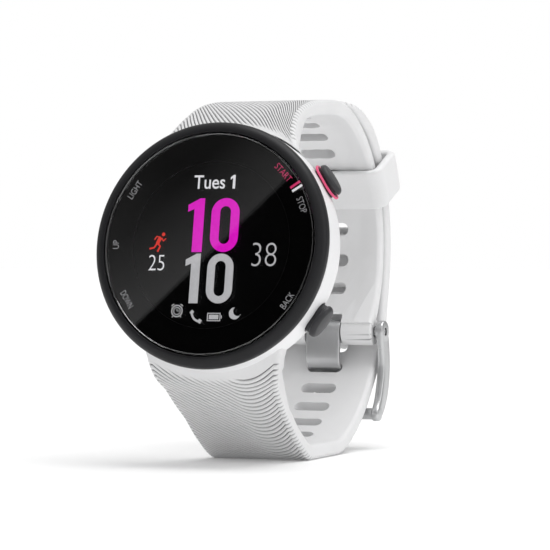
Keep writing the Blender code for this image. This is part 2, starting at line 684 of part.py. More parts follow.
def make_back(head):
    cover = disc("back_cover", COVER_RADIUS, -CASE_BACK, COVER_TOP, WINDOW_RADIUS + FIT_GAP, 64)
    for index, (x, y) in enumerate(screw_places()):
        sink = rod(f"cut_screw_sink_{index + 1}", SCREW_HEAD_RADIUS + BORE_GAP, -CASE_BACK - MM,
                   -CASE_BACK + SCREW_HEAD_HEIGHT + SEAT_GAP, (0, 0, 1))
        hole = rod(f"cut_screw_hole_{index + 1}", SCREW_SHANK_RADIUS + BORE_GAP, -CASE_BACK - MM,
                   COVER_TOP + MM, (0, 0, 1), 12)
        for cutter in (sink, hole):
            cutter.location = (x, y, 0.0)
            boolean(cover, as_helper(cutter, head))
    for index, (x, y) in enumerate(contact_places()):
        hole = rod(f"cut_contact_{index + 1}", CONTACT_RADIUS + BORE_GAP, -CASE_BACK - MM, COVER_TOP + MM,
                   (0, 0, 1), 12)
        hole.location = (x, y, 0.0)
        boolean(cover, as_helper(hole, head))
    finish_object(cover, "white_resin", head)
    gasket = disc("back_gasket", COVER_RADIUS - 0.1 * MM, COVER_TOP + SEAT_GAP, LEDGE_BOTTOM - SEAT_GAP,
                  SCREW_CIRCLE + SCREW_SHANK_RADIUS + 0.4 * MM)
    finish_object(gasket, "seal_rubber", head)
    for index, (x, y) in enumerate(screw_places()):
        head_top = -CASE_BACK + SCREW_HEAD_HEIGHT
        profile = [
            (0.0, LEDGE_TOP - 0.2 * MM),
            (SCREW_SHANK_RADIUS, LEDGE_TOP - 0.2 * MM),
            (SCREW_SHANK_RADIUS, head_top),
            (SCREW_HEAD_RADIUS, head_top),
            (SCREW_HEAD_RADIUS, -CASE_BACK + 0.1 * MM),
            (0.0, -CASE_BACK + 0.1 * MM),
        ]
        screw = turned(f"back_cover_screw_{index + 1}", profile, 12)
        screw.location = (x, y, 0.0)
        finish_object(screw, "steel", head)
    for index, (x, y) in enumerate(contact_places()):
        name = f"charge_contact_{index + 1}"
        contact = rod(name, CONTACT_RADIUS, -CASE_BACK + 0.1 * MM, COVER_TOP, (0, 0, 1), 12)
        contact.location = (x, y, 0.0)
        finish_object(contact, "gold_plate", head)


def make_heart_sensor(head):
    board = disc("sensor_board", SENSOR_BOARD_RADIUS, SENSOR_BOTTOM, SENSOR_TOP, steps=32)
    finish_object(board, "circuit_board", head)
    emitter_top = SENSOR_BOTTOM - 0.1 * MM
    for index in range(3):
        x = EMITTER_SPACING * (index - 1)
        half = EMITTER_SIZE / 2
        emitter = block(f"light_emitter_{index + 1}", (x - half, -half, emitter_top - EMITTER_THICKNESS),
                        (x + half, half, emitter_top))
        finish_object(emitter, "emitter", head)
    window_top = emitter_top - EMITTER_THICKNESS - 0.1 * MM
    window = [
        (0.0, window_top),
        (WINDOW_RADIUS, window_top),
        (WINDOW_RADIUS, -CASE_BACK),
        (0.8 * WINDOW_RADIUS, -CASE_BACK - 0.7 * WINDOW_PROUD),
        (0.4 * WINDOW_RADIUS, -CASE_BACK - WINDOW_PROUD),
        (0.0, -CASE_BACK - WINDOW_PROUD),
    ]
    finish_object(turned("sensor_window", window, 40), "lens_glass", head)


# ---------------------------------------------------------------- buttons


def make_button(label, angle, head):
    """The cap and stem in one piece, its origin on the button's axis at the cap's inner face."""
    turn = radial_place(angle, 0.0, -BUTTON_DEPTH)
    base = CASE_RADIUS - CAP_POCKET + BUTTON_TRAVEL + SEAT_GAP
    face = CASE_RADIUS + CAP_PROUD[label]
    cap = prism(f"{label}_button", pill_outline(CAP_LENGTH, CAP_WIDTH), Matrix(), face - base, 0.35 * MM)
    stem_end = SWITCH_FACE + BUTTON_TRAVEL + 0.1 * MM
    stem = rod(f"helper_stem_{label}", STEM_RADIUS, stem_end - base, 0.2 * MM, (0, 0, 1), 12)
    as_helper(stem, head)
    boolean(cap, stem, "UNION")
    for piece in (cap, stem):
        piece.matrix_basis = turn @ Matrix.Translation((0, 0, base))
    finish_object(cap, "charcoal_resin" if label in ("start", "back") else "black_resin", head)
    bpy.ops.mesh.primitive_torus_add(
        major_segments=14, minor_segments=6, major_radius=SEAL_MAJOR, minor_radius=SEAL_CORD_RADIUS
    )
    seal = bpy.context.object
    seal.name = f"{label}_button_seal"
    seal.data.shade_smooth()
    seal.matrix_basis = turn @ Matrix.Translation((0, 0, (INNER_RADIUS + CASE_RADIUS - CAP_POCKET) / 2))
    finish_object(seal, "seal_rubber", head)
    low = (-SWITCH_WIDTH / 2, -SWITCH_HEIGHT / 2, SWITCH_FACE - SWITCH_LENGTH)
    high = (SWITCH_WIDTH / 2, SWITCH_HEIGHT / 2, SWITCH_FACE)
    switch = block(f"{label}_switch", low, high)
    switch.matrix_basis = turn
    finish_object(switch, "steel", head)


def make_start_ring(head):
    """The accent ring round the start and stop cap, standing on the case's side."""
    inner = pill_outline(CAP_LENGTH + 2 * FIT_GAP, CAP_WIDTH + 2 * FIT_GAP)
    outer = pill_outline(CAP_LENGTH + 2 * (FIT_GAP + RING_WALL), CAP_WIDTH + 2 * (FIT_GAP + RING_WALL))
    low = CASE_RADIUS + SEAT_GAP
    high = CASE_RADIUS + SEAT_GAP + RING_PROUD
    sections = []
    for (xo, yo), (xi, yi) in zip(outer, inner):
        sections.append([(xo, yo, low), (xo, yo, high), (xi, yi, high), (xi, yi, low)])
    ring = loft("start_button_ring", sections, closed=True)
    ring.matrix_basis = radial_place(BUTTONS["start"], 0.0, -BUTTON_DEPTH)
    finish_object(ring, "pink_resin", head)


# ---------------------------------------------------------------- straps and their fittings


def cut_lug_seat(strap, side, label, head):
    """Room in a strap's thick end for the case, both lugs and the strap pin."""
    boolean(strap, case_keepout(f"cut_case_{label}", head))
    for x_low in (LUG_INNER_X, -LUG_INNER_X - LUG_THICKNESS):
        name = f"cut_lug_{label}_{'right' if x_low > 0 else 'left'}"
        x_high = x_low + LUG_THICKNESS + STRAP_GAP
        plate = lug_plate(name, side, x_low - STRAP_GAP, x_high, STRAP_GAP, head, 2 * MM)
        boolean(strap, plate)
    reach, level = lug_centre(side)
    half = LUG_INNER_X + LUG_THICKNESS
    bore = rod(f"cut_strap_bore_{label}", PIN_RADIUS + BORE_GAP, -half, half, (1, 0, 0))
    bore.location = (0.0, reach, level)
    boolean(strap, as_helper(bore, head))


def make_strap_pin(side, label, head):
    half = LUG_INNER_X + LUG_THICKNESS - BORE_GAP
    pin = rod(f"{label}_strap_pin", PIN_RADIUS, -half, half, (1, 0, 0), 14)
    pin.location = (0.0, *lug_centre(side))
    finish_object(pin, "steel", head)


def world(y, z):
    return y - HEAD_FORWARD, z + HEAD_HEIGHT


def across(name, radius, half, centre, steps=20):
    """A cylinder along X at a (y, z) place measured from the bezel's centre."""
    cylinder = rod(name, radius, -half, half, (1, 0, 0), steps)
    cylinder.location = (0.0, *world(*centre))
    return cylinder


def make_upper_strap(head):
    stations = upper_path()
    strap = band("upper_strap", stations, -1, STRAP_EDGE)
    cut_lug_seat(strap, 1, "upper", head)
    knuckle = across("helper_knuckle", KNUCKLE_RADIUS, HALF_STRAP - KNUCKLE_INSET, BAR, 24)
    boolean(strap, as_helper(knuckle), "UNION")
    y, z = world(*BAR)
    notch_half = TONGUE_WIDTH / 2 + STRAP_GAP
    reach = KNUCKLE_RADIUS + 0.6 * MM
    notch = block("cut_notch", (-notch_half, y - reach, z - reach), (notch_half, y + reach, z + reach))
    boolean(strap, as_helper(notch))
    boolean(strap, as_helper(across("cut_bar_bore", BAR_RADIUS + BORE_GAP, HALF_STRAP + MM, BAR, 16)))
    for index, angle in enumerate(UPPER_SLOT_ANGLES):
        turn = math.radians(angle - 90)
        point = Vector(loop_point(LOOP_RADIUS, angle))
        along = Vector((math.cos(turn), math.sin(turn)))
        boolean(strap, slot_cutter(f"cut_upper_slot_{index + 1}", point, along, -1, STRAP_THICKNESS))
    finish_object(strap, "white_silicone")


def tongue_slot_place():
    """Where the tongue passes through the lower strap, on its outer face."""
    return BAR[0] + 0.9 * MM, BAR[1] - 7.7 * MM


def make_lower_strap(head):
    stations = lower_path()
    strap = band("lower_strap", stations, 1, STRAP_EDGE)
    cut_lug_seat(strap, -1, "lower", head)
    middle = distance_to(stations, tongue_slot_place())
    length = sum((b[0] - a[0]).length for a, b in zip(stations, stations[1:]))
    index = -4
    while middle + index * SLOT_PITCH < length - 8 * MM:
        point, along, thickness = station_at(stations, middle + index * SLOT_PITCH)
        boolean(strap, slot_cutter(f"cut_lower_slot_{index + 5}", point, along, 1, thickness))
        index += 1
    finish_object(strap, "white_silicone")


def make_keeper():
    """The loose loop round both straps, curved about the centre that it slides around."""
    pivot = bpy.data.objects.new("keeper_pivot", None)
    pivot.location = (0.0, *world(*LOOP_CENTRE))
    bpy.context.scene.collection.objects.link(pivot)
    low = LOOP_RADIUS - STRAP_THICKNESS - STRAP_GAP - KEEPER_INNER_WALL
    high = TAIL_RADIUS + KEEPER_LOOSENESS + KEEPER_OUTER_WALL
    half = HALF_STRAP + STRAP_GAP + KEEPER_SIDE_WALL
    walls = (KEEPER_INNER_WALL, KEEPER_OUTER_WALL)
    spread = math.degrees(KEEPER_LENGTH / LOOP_RADIUS)
    turns = [math.radians(KEEPER_ANGLE + spread * (k / 4 - 0.5)) for k in range(5)]
    sections = []
    for side_x, side_r in ((1, 1), (-1, 1), (-1, -1), (1, -1)):
        wall = walls[side_r > 0]
        base = high if side_r > 0 else low
        for step in range(5):
            sweep = step / 4 if side_x == side_r else 1 - step / 4
            angle = math.pi / 2 * sweep
            outer_x = half - KEEPER_CORNER * (1 - math.cos(angle))
            outer_r = base - side_r * KEEPER_CORNER * (1 - math.sin(angle))
            inner_corner = max(KEEPER_CORNER - wall, 0.5 * MM)
            inner_x = half - KEEPER_SIDE_WALL - inner_corner * (1 - math.cos(angle))
            inner_r = base - side_r * (wall + inner_corner * (1 - math.sin(angle)))
            ring = [(side_x * outer_x, outer_r * math.cos(t), outer_r * math.sin(t)) for t in turns]
            back = reversed(turns)
            ring += [(side_x * inner_x, inner_r * math.cos(t), inner_r * math.sin(t)) for t in back]
            sections.append(ring)
    keeper = loft("keeper_loop", sections, closed=True)
    finish_object(keeper, "white_silicone", pivot)


# ---------------------------------------------------------------- buckle


def far_bar_place():
    return BAR[0] - 2.8 * MM, BAR[1] - 14.1 * MM


def make_buckle_frame():
    y, z = BAR
    far_y, far_z = far_bar_place()
    inner = HALF_STRAP + FRAME_GAP
    nodes = [
        (y, z, -80, FRAME_ARM / 2, FRAME_DEPTH + 0.3 * MM),
        (y + 1.0 * MM, z - 5.7 * MM, -90, FRAME_ARM / 2, FRAME_DEPTH),
        (y + 0.0 * MM, z - 10.8 * MM, -113, FRAME_ARM / 2, FRAME_DEPTH - 0.4 * MM),
        (far_y, far_z, -140, FRAME_ARM / 2, 2 * FRAME_BAR_RADIUS),
    ]
    frame = across("buckle_frame", FRAME_BAR_RADIUS, inner + FRAME_ARM, (far_y, far_z))
    frame.data.transform(Matrix.Translation(Vector((0.0, far_y - y, far_z - z))))
    frame.location = (0.0, *world(y, z))
    for side, label in ((1, "right"), (-1, "left")):
        offset = side * (inner + FRAME_ARM / 2)
        arm = band(f"helper_arm_{label}", follow(nodes), 1, 0.4 * MM, centred=True, offset_x=offset)
        boolean(frame, as_helper(arm), "UNION")
        eye_radius = FRAME_DEPTH / 2 + 0.3 * MM
        low, high = offset - FRAME_ARM / 2, offset + FRAME_ARM / 2
        eye = rod(f"helper_eye_{label}", eye_radius, low, high, (1, 0, 0), 24)
        eye.location = (0.0, *world(y, z))
        boolean(frame, as_helper(eye), "UNION")
    boolean(frame, as_helper(across("cut_tip_bore", BAR_TIP_RADIUS + BORE_GAP, 2 * inner, BAR, 16)))
    finish_object(frame, "steel")


def make_tongue():
    y, z = BAR
    half = TONGUE_WIDTH / 2
    thick = TONGUE_THICKNESS
    nodes = [
        (y - TONGUE_RING_RADIUS + thick / 2, z, -90, half, thick),
        (y - 1.9 * MM, z - 5.0 * MM, -86, half, thick),
        (y - 0.1 * MM, z - 6.9 * MM, -38, half - 0.1 * MM, thick),
        (y + 1.9 * MM, z - 9.5 * MM, -72, half - 0.3 * MM, thick),
        (y + 0.9 * MM, z - 13.3 * MM, -113, half - 0.4 * MM, thick),
        (y - 1.7 * MM, z - 16.1 * MM, -138, half - 0.7 * MM, 0.8 * thick),
    ]
    ring = across("buckle_tongue", TONGUE_RING_RADIUS, half, BAR, 24)
    blade = band("helper_blade", follow(nodes, 1.6 * MM), 1, 0.2 * MM, centred=True)
    boolean(ring, as_helper(blade), "UNION")
    boolean(ring, as_helper(across("cut_ring_bore", BAR_RADIUS + BORE_GAP, TONGUE_WIDTH, BAR, 16)))
    finish_object(ring, "steel")


def make_spring_bar():
    inner = HALF_STRAP + FRAME_GAP
    tip = inner + FRAME_ARM - 0.2 * MM
    shoulder = HALF_STRAP + 0.2 * MM
    profile = [
        (0.0, tip),
        (BAR_TIP_RADIUS, tip),
        (BAR_TIP_RADIUS, shoulder),
        (BAR_RADIUS, shoulder),
        (BAR_RADIUS, -shoulder),
        (BAR_TIP_RADIUS, -shoulder),
        (BAR_TIP_RADIUS, -tip),
        (0.0, -tip),
    ]
    bar = turned("spring_bar", profile, 14)
    bar.rotation_euler = (0.0, math.pi / 2, 0.0)
    bar.location = (0.0, *world(*BAR))
    finish_object(bar, "steel")


# ---------------------------------------------------------------- assembly


def main():
    clear_scene()
    head = head_empty()
    make_case(head)
    make_bezel(head)
    make_lens_stack(head)
    make_inner_pieces(head)
    make_back(head)
    make_heart_sensor(head)
    for label, angle in BUTTONS.items():
        make_button(label, angle, head)
    make_start_ring(head)
    make_upper_strap(head)
    make_lower_strap(head)
    make_strap_pin(1, "upper", head)
    make_strap_pin(-1, "lower", head)
    make_keeper()
    make_spring_bar()
    make_tongue()
    make_buckle_frame()


main()
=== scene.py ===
import bpy
import json
import math
import numpy as np
from mathutils import Matrix, Vector


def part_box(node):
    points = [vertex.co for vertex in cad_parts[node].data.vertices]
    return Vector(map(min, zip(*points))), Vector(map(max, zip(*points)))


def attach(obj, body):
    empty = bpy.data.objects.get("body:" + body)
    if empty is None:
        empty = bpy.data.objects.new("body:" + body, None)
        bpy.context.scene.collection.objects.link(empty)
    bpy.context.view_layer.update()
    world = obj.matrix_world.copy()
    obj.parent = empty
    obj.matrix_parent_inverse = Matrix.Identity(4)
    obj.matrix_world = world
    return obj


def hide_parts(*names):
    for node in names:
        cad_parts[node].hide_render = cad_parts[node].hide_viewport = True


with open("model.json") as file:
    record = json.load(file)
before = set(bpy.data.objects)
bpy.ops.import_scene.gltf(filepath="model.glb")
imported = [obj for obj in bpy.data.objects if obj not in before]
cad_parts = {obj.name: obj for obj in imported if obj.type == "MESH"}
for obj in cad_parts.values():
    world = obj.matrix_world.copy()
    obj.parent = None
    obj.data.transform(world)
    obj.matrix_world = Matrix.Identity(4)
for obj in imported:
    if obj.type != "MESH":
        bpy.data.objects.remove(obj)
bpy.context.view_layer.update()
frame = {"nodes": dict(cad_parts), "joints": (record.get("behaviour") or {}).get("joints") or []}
print("frame loaded:", len(frame["nodes"]), "nodes")

mm = 0.001
poleRadius = 1e-6
faceLean = math.radians(10.2)


def boxCentre(node):
    low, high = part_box(node)
    return (Vector(low) + Vector(high)) / 2


def jointPlace(name):
    return Vector(next(j for j in frame["joints"] if j["name"] == name)["pos_m"])


# the lens is a flat disc, so its box gives its radius and the face's middle
lensLow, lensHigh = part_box("lens_glass")
lensRadius = (Vector(lensHigh) - Vector(lensLow)).x / 2
lensThick = 0.95 * mm
lensTop = 1.6 * mm
faceNormal = Vector((0, -math.cos(faceLean), math.sin(faceLean)))
headCentre = boxCentre("lens_glass") - faceNormal * (lensTop - lensThick / 2)
headMatrix = Matrix.Translation(headCentre) @ Matrix.Rotation(math.pi / 2 - faceLean, 4, "X")
caseRadius = lensRadius + 1.95 * mm
barCentre = boxCentre("spring_bar")
loopCentre = jointPlace("keeper_slide")


# ---- small helpers for selecting, cutting and finishing


def deselectAll():
    if bpy.context.mode != "OBJECT":
        bpy.ops.object.mode_set(mode="OBJECT")
    bpy.ops.object.select_all(action="DESELECT")


def makeActive(piece):
    deselectAll()
    piece.select_set(True)
    bpy.context.view_layer.objects.active = piece
    return piece


def paint(piece, material):
    piece.data.materials.clear()
    piece.data.materials.append(material)


def placeInMesh(piece, matrix):
    # the finished object keeps no transform of its own
    matrix = matrix @ piece.matrix_world
    piece.data.transform(matrix)
    if matrix.determinant() < 0:
        piece.data.flip_normals()
    piece.matrix_world = Matrix()
    return piece


def cleanMesh(piece, distance=0.002 * mm):
    makeActive(piece)
    bpy.ops.object.mode_set(mode="EDIT")
    bpy.ops.mesh.select_all(action="SELECT")
    bpy.ops.mesh.remove_doubles(threshold=distance)
    bpy.ops.mesh.dissolve_degenerate(threshold=distance / 4)
    bpy.ops.mesh.normals_make_consistent(inside=False)
    bpy.ops.object.mode_set(mode="OBJECT")
    return piece


def smoothByAngle(piece, angle=35):
    makeActive(piece)
    bpy.ops.object.shade_smooth_by_angle(angle=math.radians(angle))
    return piece


def applyBevel(piece, width, segments=3, angle=30):
    makeActive(piece)
    bevel = piece.modifiers.new("bevel", "BEVEL")
    bevel.width = width
    bevel.segments = segments
    bevel.limit_method = "ANGLE"
    bevel.angle_limit = math.radians(angle)
    bevel.harden_normals = False
    bpy.ops.object.modifier_apply(modifier=bevel.name)
    return piece


def cutWith(piece, cutter, operation="DIFFERENCE"):
    makeActive(piece)
    cut = piece.modifiers.new("cut", "BOOLEAN")
    cut.operation = operation
    cut.solver = "EXACT"
    cut.object = cutter
    bpy.ops.object.modifier_apply(modifier=cut.name)
    bpy.data.objects.remove(cutter, do_unlink=True)
    return piece


def joinPieces(pieces, name):
    deselectAll()
    for piece in pieces:
        piece.select_set(True)
    bpy.context.view_layer.objects.active = pieces[0]
    bpy.ops.object.join()
    joined = bpy.context.view_layer.objects.active
    joined.name = name
    return joined


def turnedPiece(name, rings, segments=128):
    # a circle extruded and scaled through rings of (radius, level) in mm; the first and last either meet,
    # which closes the wall, or have no radius, which makes two poles
    deselectAll()
    rings = [(max(radius * mm, poleRadius), level * mm) for radius, level in rings]
    radius, level = rings[0]
    bpy.ops.mesh.primitive_circle_add(vertices=segments, radius=radius, location=(0, 0, level))
    piece = bpy.context.object
    piece.name = name
    bpy.ops.object.mode_set(mode="EDIT")
    bpy.ops.mesh.select_all(action="SELECT")
    for nextRadius, nextLevel in rings[1:]:
        bpy.ops.mesh.extrude_region_move(TRANSFORM_OT_translate={"value": (0, 0, nextLevel - level)})
        ratio = nextRadius / radius
        bpy.ops.transform.resize(value=(ratio, ratio, 1), center_override=(0, 0, nextLevel))
        radius, level = nextRadius, nextLevel
    bpy.ops.object.mode_set(mode="OBJECT")
    return cleanMesh(piece)


def radialMatrix(angle, distance, level):
    # local Z points out of the case at a clock angle, local X runs round it
    turn = math.radians(angle)
    out = Vector((math.cos(turn), math.sin(turn), 0))
    around = Vector((-math.sin(turn), math.cos(turn), 0))
    matrix = Matrix((around, Vector((0, 0, 1)), out)).transposed().to_4x4()
    matrix.translation = out * distance + Vector((0, 0, level))
    return headMatrix @ matrix


def pillPiece(name, length, width, low, high, segments=32):
    # a cylinder whose right and left halves are pushed apart
    deselectAll()
    bpy.ops.mesh.primitive_cylinder_add(
        vertices=segments, radius=width / 2, depth=high - low, location=(0, 0, (high + low) / 2),
        rotation=(0, 0, math.pi / segments))
    piece = bpy.context.object
    piece.name = name
    bpy.ops.object.transform_apply(location=True, rotation=True, scale=True)
    for vert in piece.data.vertices:
        vert.co.x += math.copysign((length - width) / 2, vert.co.x)
    return piece


def gridPiece(name, points):
    # a flat grid whose vertices are then laid on a shape; rows and columns stay those of the grid
    rows, columns = points.shape[:2]
    deselectAll()
    bpy.ops.mesh.primitive_grid_add(x_subdivisions=columns - 1, y_subdivisions=rows - 1, size=1)
    piece = bpy.context.object
    piece.name = name
    piece.data.vertices.foreach_set("co", np.ascontiguousarray(points, dtype=np.float32).reshape(-1))
    piece.data.update()
    return piece


def fillEnds(piece):
    makeActive(piece)
    bpy.ops.object.mode_set(mode="EDIT")
    bpy.ops.mesh.select_mode(type="EDGE")
    bpy.ops.mesh.select_all(action="DESELECT")
    bpy.ops.mesh.select_non_manifold(extend=False, use_wire=False, use_multi_face=False,
                                     use_non_contiguous=False, use_verts=False)
    bpy.ops.mesh.edge_face_add()
    bpy.ops.mesh.select_mode(type="VERT")
    bpy.ops.mesh.select_all(action="SELECT")
    bpy.ops.mesh.normals_make_consistent(inside=False)
    bpy.ops.object.mode_set(mode="OBJECT")
    return piece


# ---- materials: a field is a value that varies over the surface, and sums on it become Math nodes


class Field:
    def __init__(self, tree, socket=None):
        self.tree = tree
        self.socket = socket

    def node(self, kind, inputs=None, output=0, **settings):
        made = self.tree.nodes.new("ShaderNode" + kind)
        for key, value in settings.items():
            setattr(made, key, value)
        for key, value in (inputs or {}).items():
            self.feed(made.inputs[key], value)
        return Field(self.tree, made.outputs[output])

    def feed(self, socket, value):
        if isinstance(value, Field):
            self.tree.links.new(value.socket, socket)
        else:
            socket.default_value = value

    def sum(self, operation, *others):
        return self.node("Math", dict(enumerate((self,) + others)), operation=operation)

    def __add__(self, other):
        return self.sum("ADD", other)

    def __mul__(self, other):
        return self.sum("MULTIPLY", other)

    def __sub__(self, other):
        return self.sum("SUBTRACT", other)

    def __rsub__(self, other):
        return self.node("Math", {0: other, 1: self}, operation="SUBTRACT")

    __radd__ = __add__
    __rmul__ = __mul__

    def stretch(self, fromLow, fromHigh, low, high):
        return self.node("MapRange", {0: self, 1: fromLow, 2: fromHigh, 3: low, 4: high})

    def between(self, first, second):
        # the field mixes two colours
        return self.node("Mix", {0: self, 6: (*first, 1), 7: (*second, 1)}, output=2, data_type="RGBA")

    def noise(self, scale, detail=3, roughness=0.55, vector=None):
        return self.node("TexNoise", {"Vector": vector or self.objectPlace(), "Scale": scale,
                                      "Detail": detail, "Roughness": roughness})

    def objectPlace(self, squeeze=(1, 1, 1), turn=(0, 0, 0)):
        place = self.node("TexCoord", output="Object")
        return self.node("Mapping", {"Vector": place, "Scale": squeeze, "Rotation": turn})

    def bump(self, strength, distance):
        return self.node("Bump", {"Height": self, "Strength": strength, "Distance": distance})


def newMaterial(name, **constants):
    material = bpy.data.materials.new(name)
    material.use_nodes = True
    shader = material.node_tree.nodes["Principled BSDF"]
    for key, value in constants.items():
        socket = shader.inputs[key.replace("_", " ")]
        socket.default_value = (*value, 1) if isinstance(value, tuple) else value
    return material, shader, Field(material.node_tree)


def plainFinish(name, tones, roughness, grain, relief=0.0, patch=90, squeeze=(1, 1, 1), **constants):
    # two near tones in soft patches, a grain that moves the gloss, and a fine relief
    material, shader, field = newMaterial(name, **constants)
    place = field.objectPlace(squeeze)
    soft = field.noise(patch, 4, 0.6)
    fine = field.noise(grain, 2, 0.5, place)
    field.feed(shader.inputs["Base Color"], (soft * 0.7 + fine * 0.3).stretch(0.3, 0.7, 0, 1).between(*tones))
    field.feed(shader.inputs["Roughness"], fine.stretch(0.25, 0.75, *roughness))
    if relief:
        field.feed(shader.inputs["Normal"], fine.bump(1.0, relief * mm))
    return material


silicone = plainFinish("white_silicone", ((0.76, 0.76, 0.765), (0.80, 0.80, 0.805)), (0.48, 0.60), 2600,
                       0.004)


def ribbedSilicone():
    # the same rubber, with painted shade darkening its grooves
    material, shader, field = newMaterial("ribbed_silicone_painted_groove_shade")
    fine = field.noise(2600, 2, 0.5)
    groove = field.node("Attribute", output="Fac", attribute_name="groove")
    unshadedTone = field.noise(90, 4, 0.6).stretch(0.3, 0.7, 0, 1).between((0.74, 0.74, 0.745), (0.78, 0.78, 0.785))
    # painted shade: the deeper a groove, the closer its colour goes to dark grey
    dark = (groove + fine * 0.1 - 0.05).stretch(0.05, 0.9, 0, 1)
    colour = field.node("Mix", {0: dark, 6: unshadedTone, 7: (0.20, 0.20, 0.205, 1)}, output=2, data_type="RGBA")
    field.feed(shader.inputs["Base Color"], colour)
    field.feed(shader.inputs["Roughness"], fine.stretch(0.25, 0.75, 0.48, 0.6) + groove * 0.15)
    field.feed(shader.inputs["Normal"], fine.bump(1.0, 0.004 * mm))
    return material


siliconeRibbed = ribbedSilicone()
resinWhite = plainFinish("white_resin", ((0.80, 0.80, 0.81), (0.84, 0.84, 0.85)), (0.34, 0.44), 1800, 0.002)
resinCharcoal = plainFinish("charcoal_resin", ((0.011, 0.011, 0.012), (0.016, 0.016, 0.018)), (0.34, 0.44),
                            2400, 0.003, Specular_IOR_Level=0.22)
resinBlack = plainFinish("black_resin", ((0.010, 0.010, 0.011), (0.016, 0.016, 0.018)), (0.32, 0.46), 2000,
                         0.003)
capCharcoal = plainFinish("cap_charcoal", ((0.028, 0.028, 0.030), (0.038, 0.038, 0.042)), (0.34, 0.46),
                          2400, 0.003, Specular_IOR_Level=0.3)
resinPink = plainFinish("pink_resin", ((0.80, 0.075, 0.20), (0.86, 0.10, 0.24)), (0.30, 0.40), 1500, 0.002)
rubberDark = plainFinish("seal_rubber", ((0.02, 0.02, 0.02), (0.035, 0.034, 0.034)), (0.6, 0.75), 1500, 0.004)
steelSatin = plainFinish("steel_satin", ((0.50, 0.505, 0.51), (0.58, 0.585, 0.59)), (0.26, 0.38), 900, 0.003,
                         squeeze=(0.6, 9, 9), Metallic=1.0)
steelDark = plainFinish("steel_dark", ((0.50, 0.503, 0.51), (0.57, 0.573, 0.58)), (0.30, 0.42), 900, 0.003,
                        squeeze=(9, 1, 1), Metallic=1.0)
goldPlate = plainFinish("gold_plate", ((0.72, 0.50, 0.20), (0.80, 0.57, 0.26)), (0.18, 0.30), 1400, 0.002,
                        Metallic=1.0)
cellWrap = plainFinish("cell_wrap", ((0.30, 0.32, 0.35), (0.40, 0.42, 0.45)), (0.35, 0.5), 700, 0.01,
                       patch=160)
emitterGreen = plainFinish("emitter", ((0.05, 0.42, 0.16), (0.12, 0.60, 0.26)), (0.2, 0.35), 1200, 0.002)
sensorGlass = plainFinish("sensor_glass", ((0.006, 0.006, 0.007), (0.012, 0.010, 0.012)), (0.05, 0.09), 500,
                          Coat_Weight=1.0, Coat_Roughness=0.03)


def boardFinish():
    material, shader, field = newMaterial("circuit_board")
    place = field.objectPlace()
    cells = field.node("TexVoronoi", {"Vector": place, "Scale": 900}, feature="DISTANCE_TO_EDGE")
    tracks = cells.sum("LESS_THAN", 0.06)
    field.feed(shader.inputs["Base Color"], tracks.between((0.012, 0.10, 0.045), (0.35, 0.26, 0.09)))
    field.feed(shader.inputs["Metallic"], tracks * 0.8)
    field.feed(shader.inputs["Roughness"], field.noise(1400).stretch(0.3, 0.7, 0.35, 0.55))
    return material


def displayFinish():
    # a lit panel at rest: nearly black, with the faint grid of its cells
    material, shader, field = newMaterial("display", Specular_IOR_Level=0.05)
    place = field.objectPlace(turn=(math.pi / 2 - faceLean, 0, 0))
    cells = field.node("TexChecker", {"Vector": place, "Scale": 5200}, output=1)
    field.feed(shader.inputs["Base Color"], cells.between((0.0018, 0.0018, 0.002), (0.0026, 0.0026, 0.003)))
    field.feed(shader.inputs["Roughness"], field.noise(400).stretch(0.3, 0.7, 0.28, 0.36))
    return material


def printFinish(name, first, second):
    # ink or lit cells: slightly mottled, and with its own glow so that it reads through the glass; on printed
    # ink this glow is painted light
    material, shader, field = newMaterial(name, Emission_Strength=1.0, Specular_IOR_Level=0.1)
    mottle = field.noise(1600).stretch(0.3, 0.7, 0, 1)
    dim = [tuple(0.12 * c for c in colour) for colour in (first, second)]
    field.feed(shader.inputs["Base Color"], mottle.between(*dim))
    field.feed(shader.inputs["Emission Color"], mottle.between(first, second))
    field.feed(shader.inputs["Roughness"], mottle.stretch(0, 1, 0.5, 0.6))
    return material


def glassFinish(name):
    # clear for lamps and eye, with the mirror of a coated pane on top
    material, shader, field = newMaterial(name, Metallic=0.0, Roughness=0.02)
    tree = material.node_tree
    clear = field.node("BsdfTransparent", {"Color": (0.97, 0.97, 0.975, 1)})
    gloss = field.node("BsdfGlossy", {"Color": (1, 1, 1, 1), "Roughness": 0.015})
    smear = field.noise(60).stretch(0.3, 0.7, 0.85, 1.0)
    mirror = field.node("Fresnel", {"IOR": 1.8}) * smear
    mixed = field.node("MixShader", {0: mirror, 1: clear, 2: gloss})
    tree.nodes.remove(shader)
    tree.links.new(mixed.socket, tree.nodes["Material Output"].inputs["Surface"])
    return material


circuitBoard = boardFinish()
displayPanel = displayFinish()
lensClear = glassFinish("lens_clear")
print("materials made")


# ---- the strap's path, as nodes of (y, z, heading in degrees, half width, thickness)
# in mm from the head's middle

headForward = -headCentre.y / mm
headHeight = headCentre.z / mm
bar = (barCentre.y / mm + headForward, barCentre.z / mm - headHeight)
loop = (loopCentre.y / mm + headForward, loopCentre.z / mm - headHeight)
caseMm = caseRadius / mm
strap = {
    "half": 9.0,
    "thickness": 2.5,
    "tailThickness": 2.9,
    "edge": 0.75,
    "handle": 0.345,
    "loopRadius": 24.1,
    "tailRadius": 27.9,
    "tailEnd": 74,
    "footFront": 21.0,
    "footBack": 33.0,
    "ribPitch": 0.98,
    "rowsPerRib": 6,
    "ribDepth": 0.3,
    "margin": 1.15,
    "knuckle": 2.4,
    "pass": 5.6,
    "slotPitch": 4.85,
    "slotsBefore": 4,
    "slotMargin": 8,
}


def headPoint(reach, level):
    return (reach * math.sin(faceLean) - level * math.cos(faceLean),
            reach * math.cos(faceLean) + level * math.sin(faceLean))


def loopPoint(radius, angle):
    turn = math.radians(angle)
    return loop[0] + radius * math.cos(turn), loop[1] + radius * math.sin(turn)


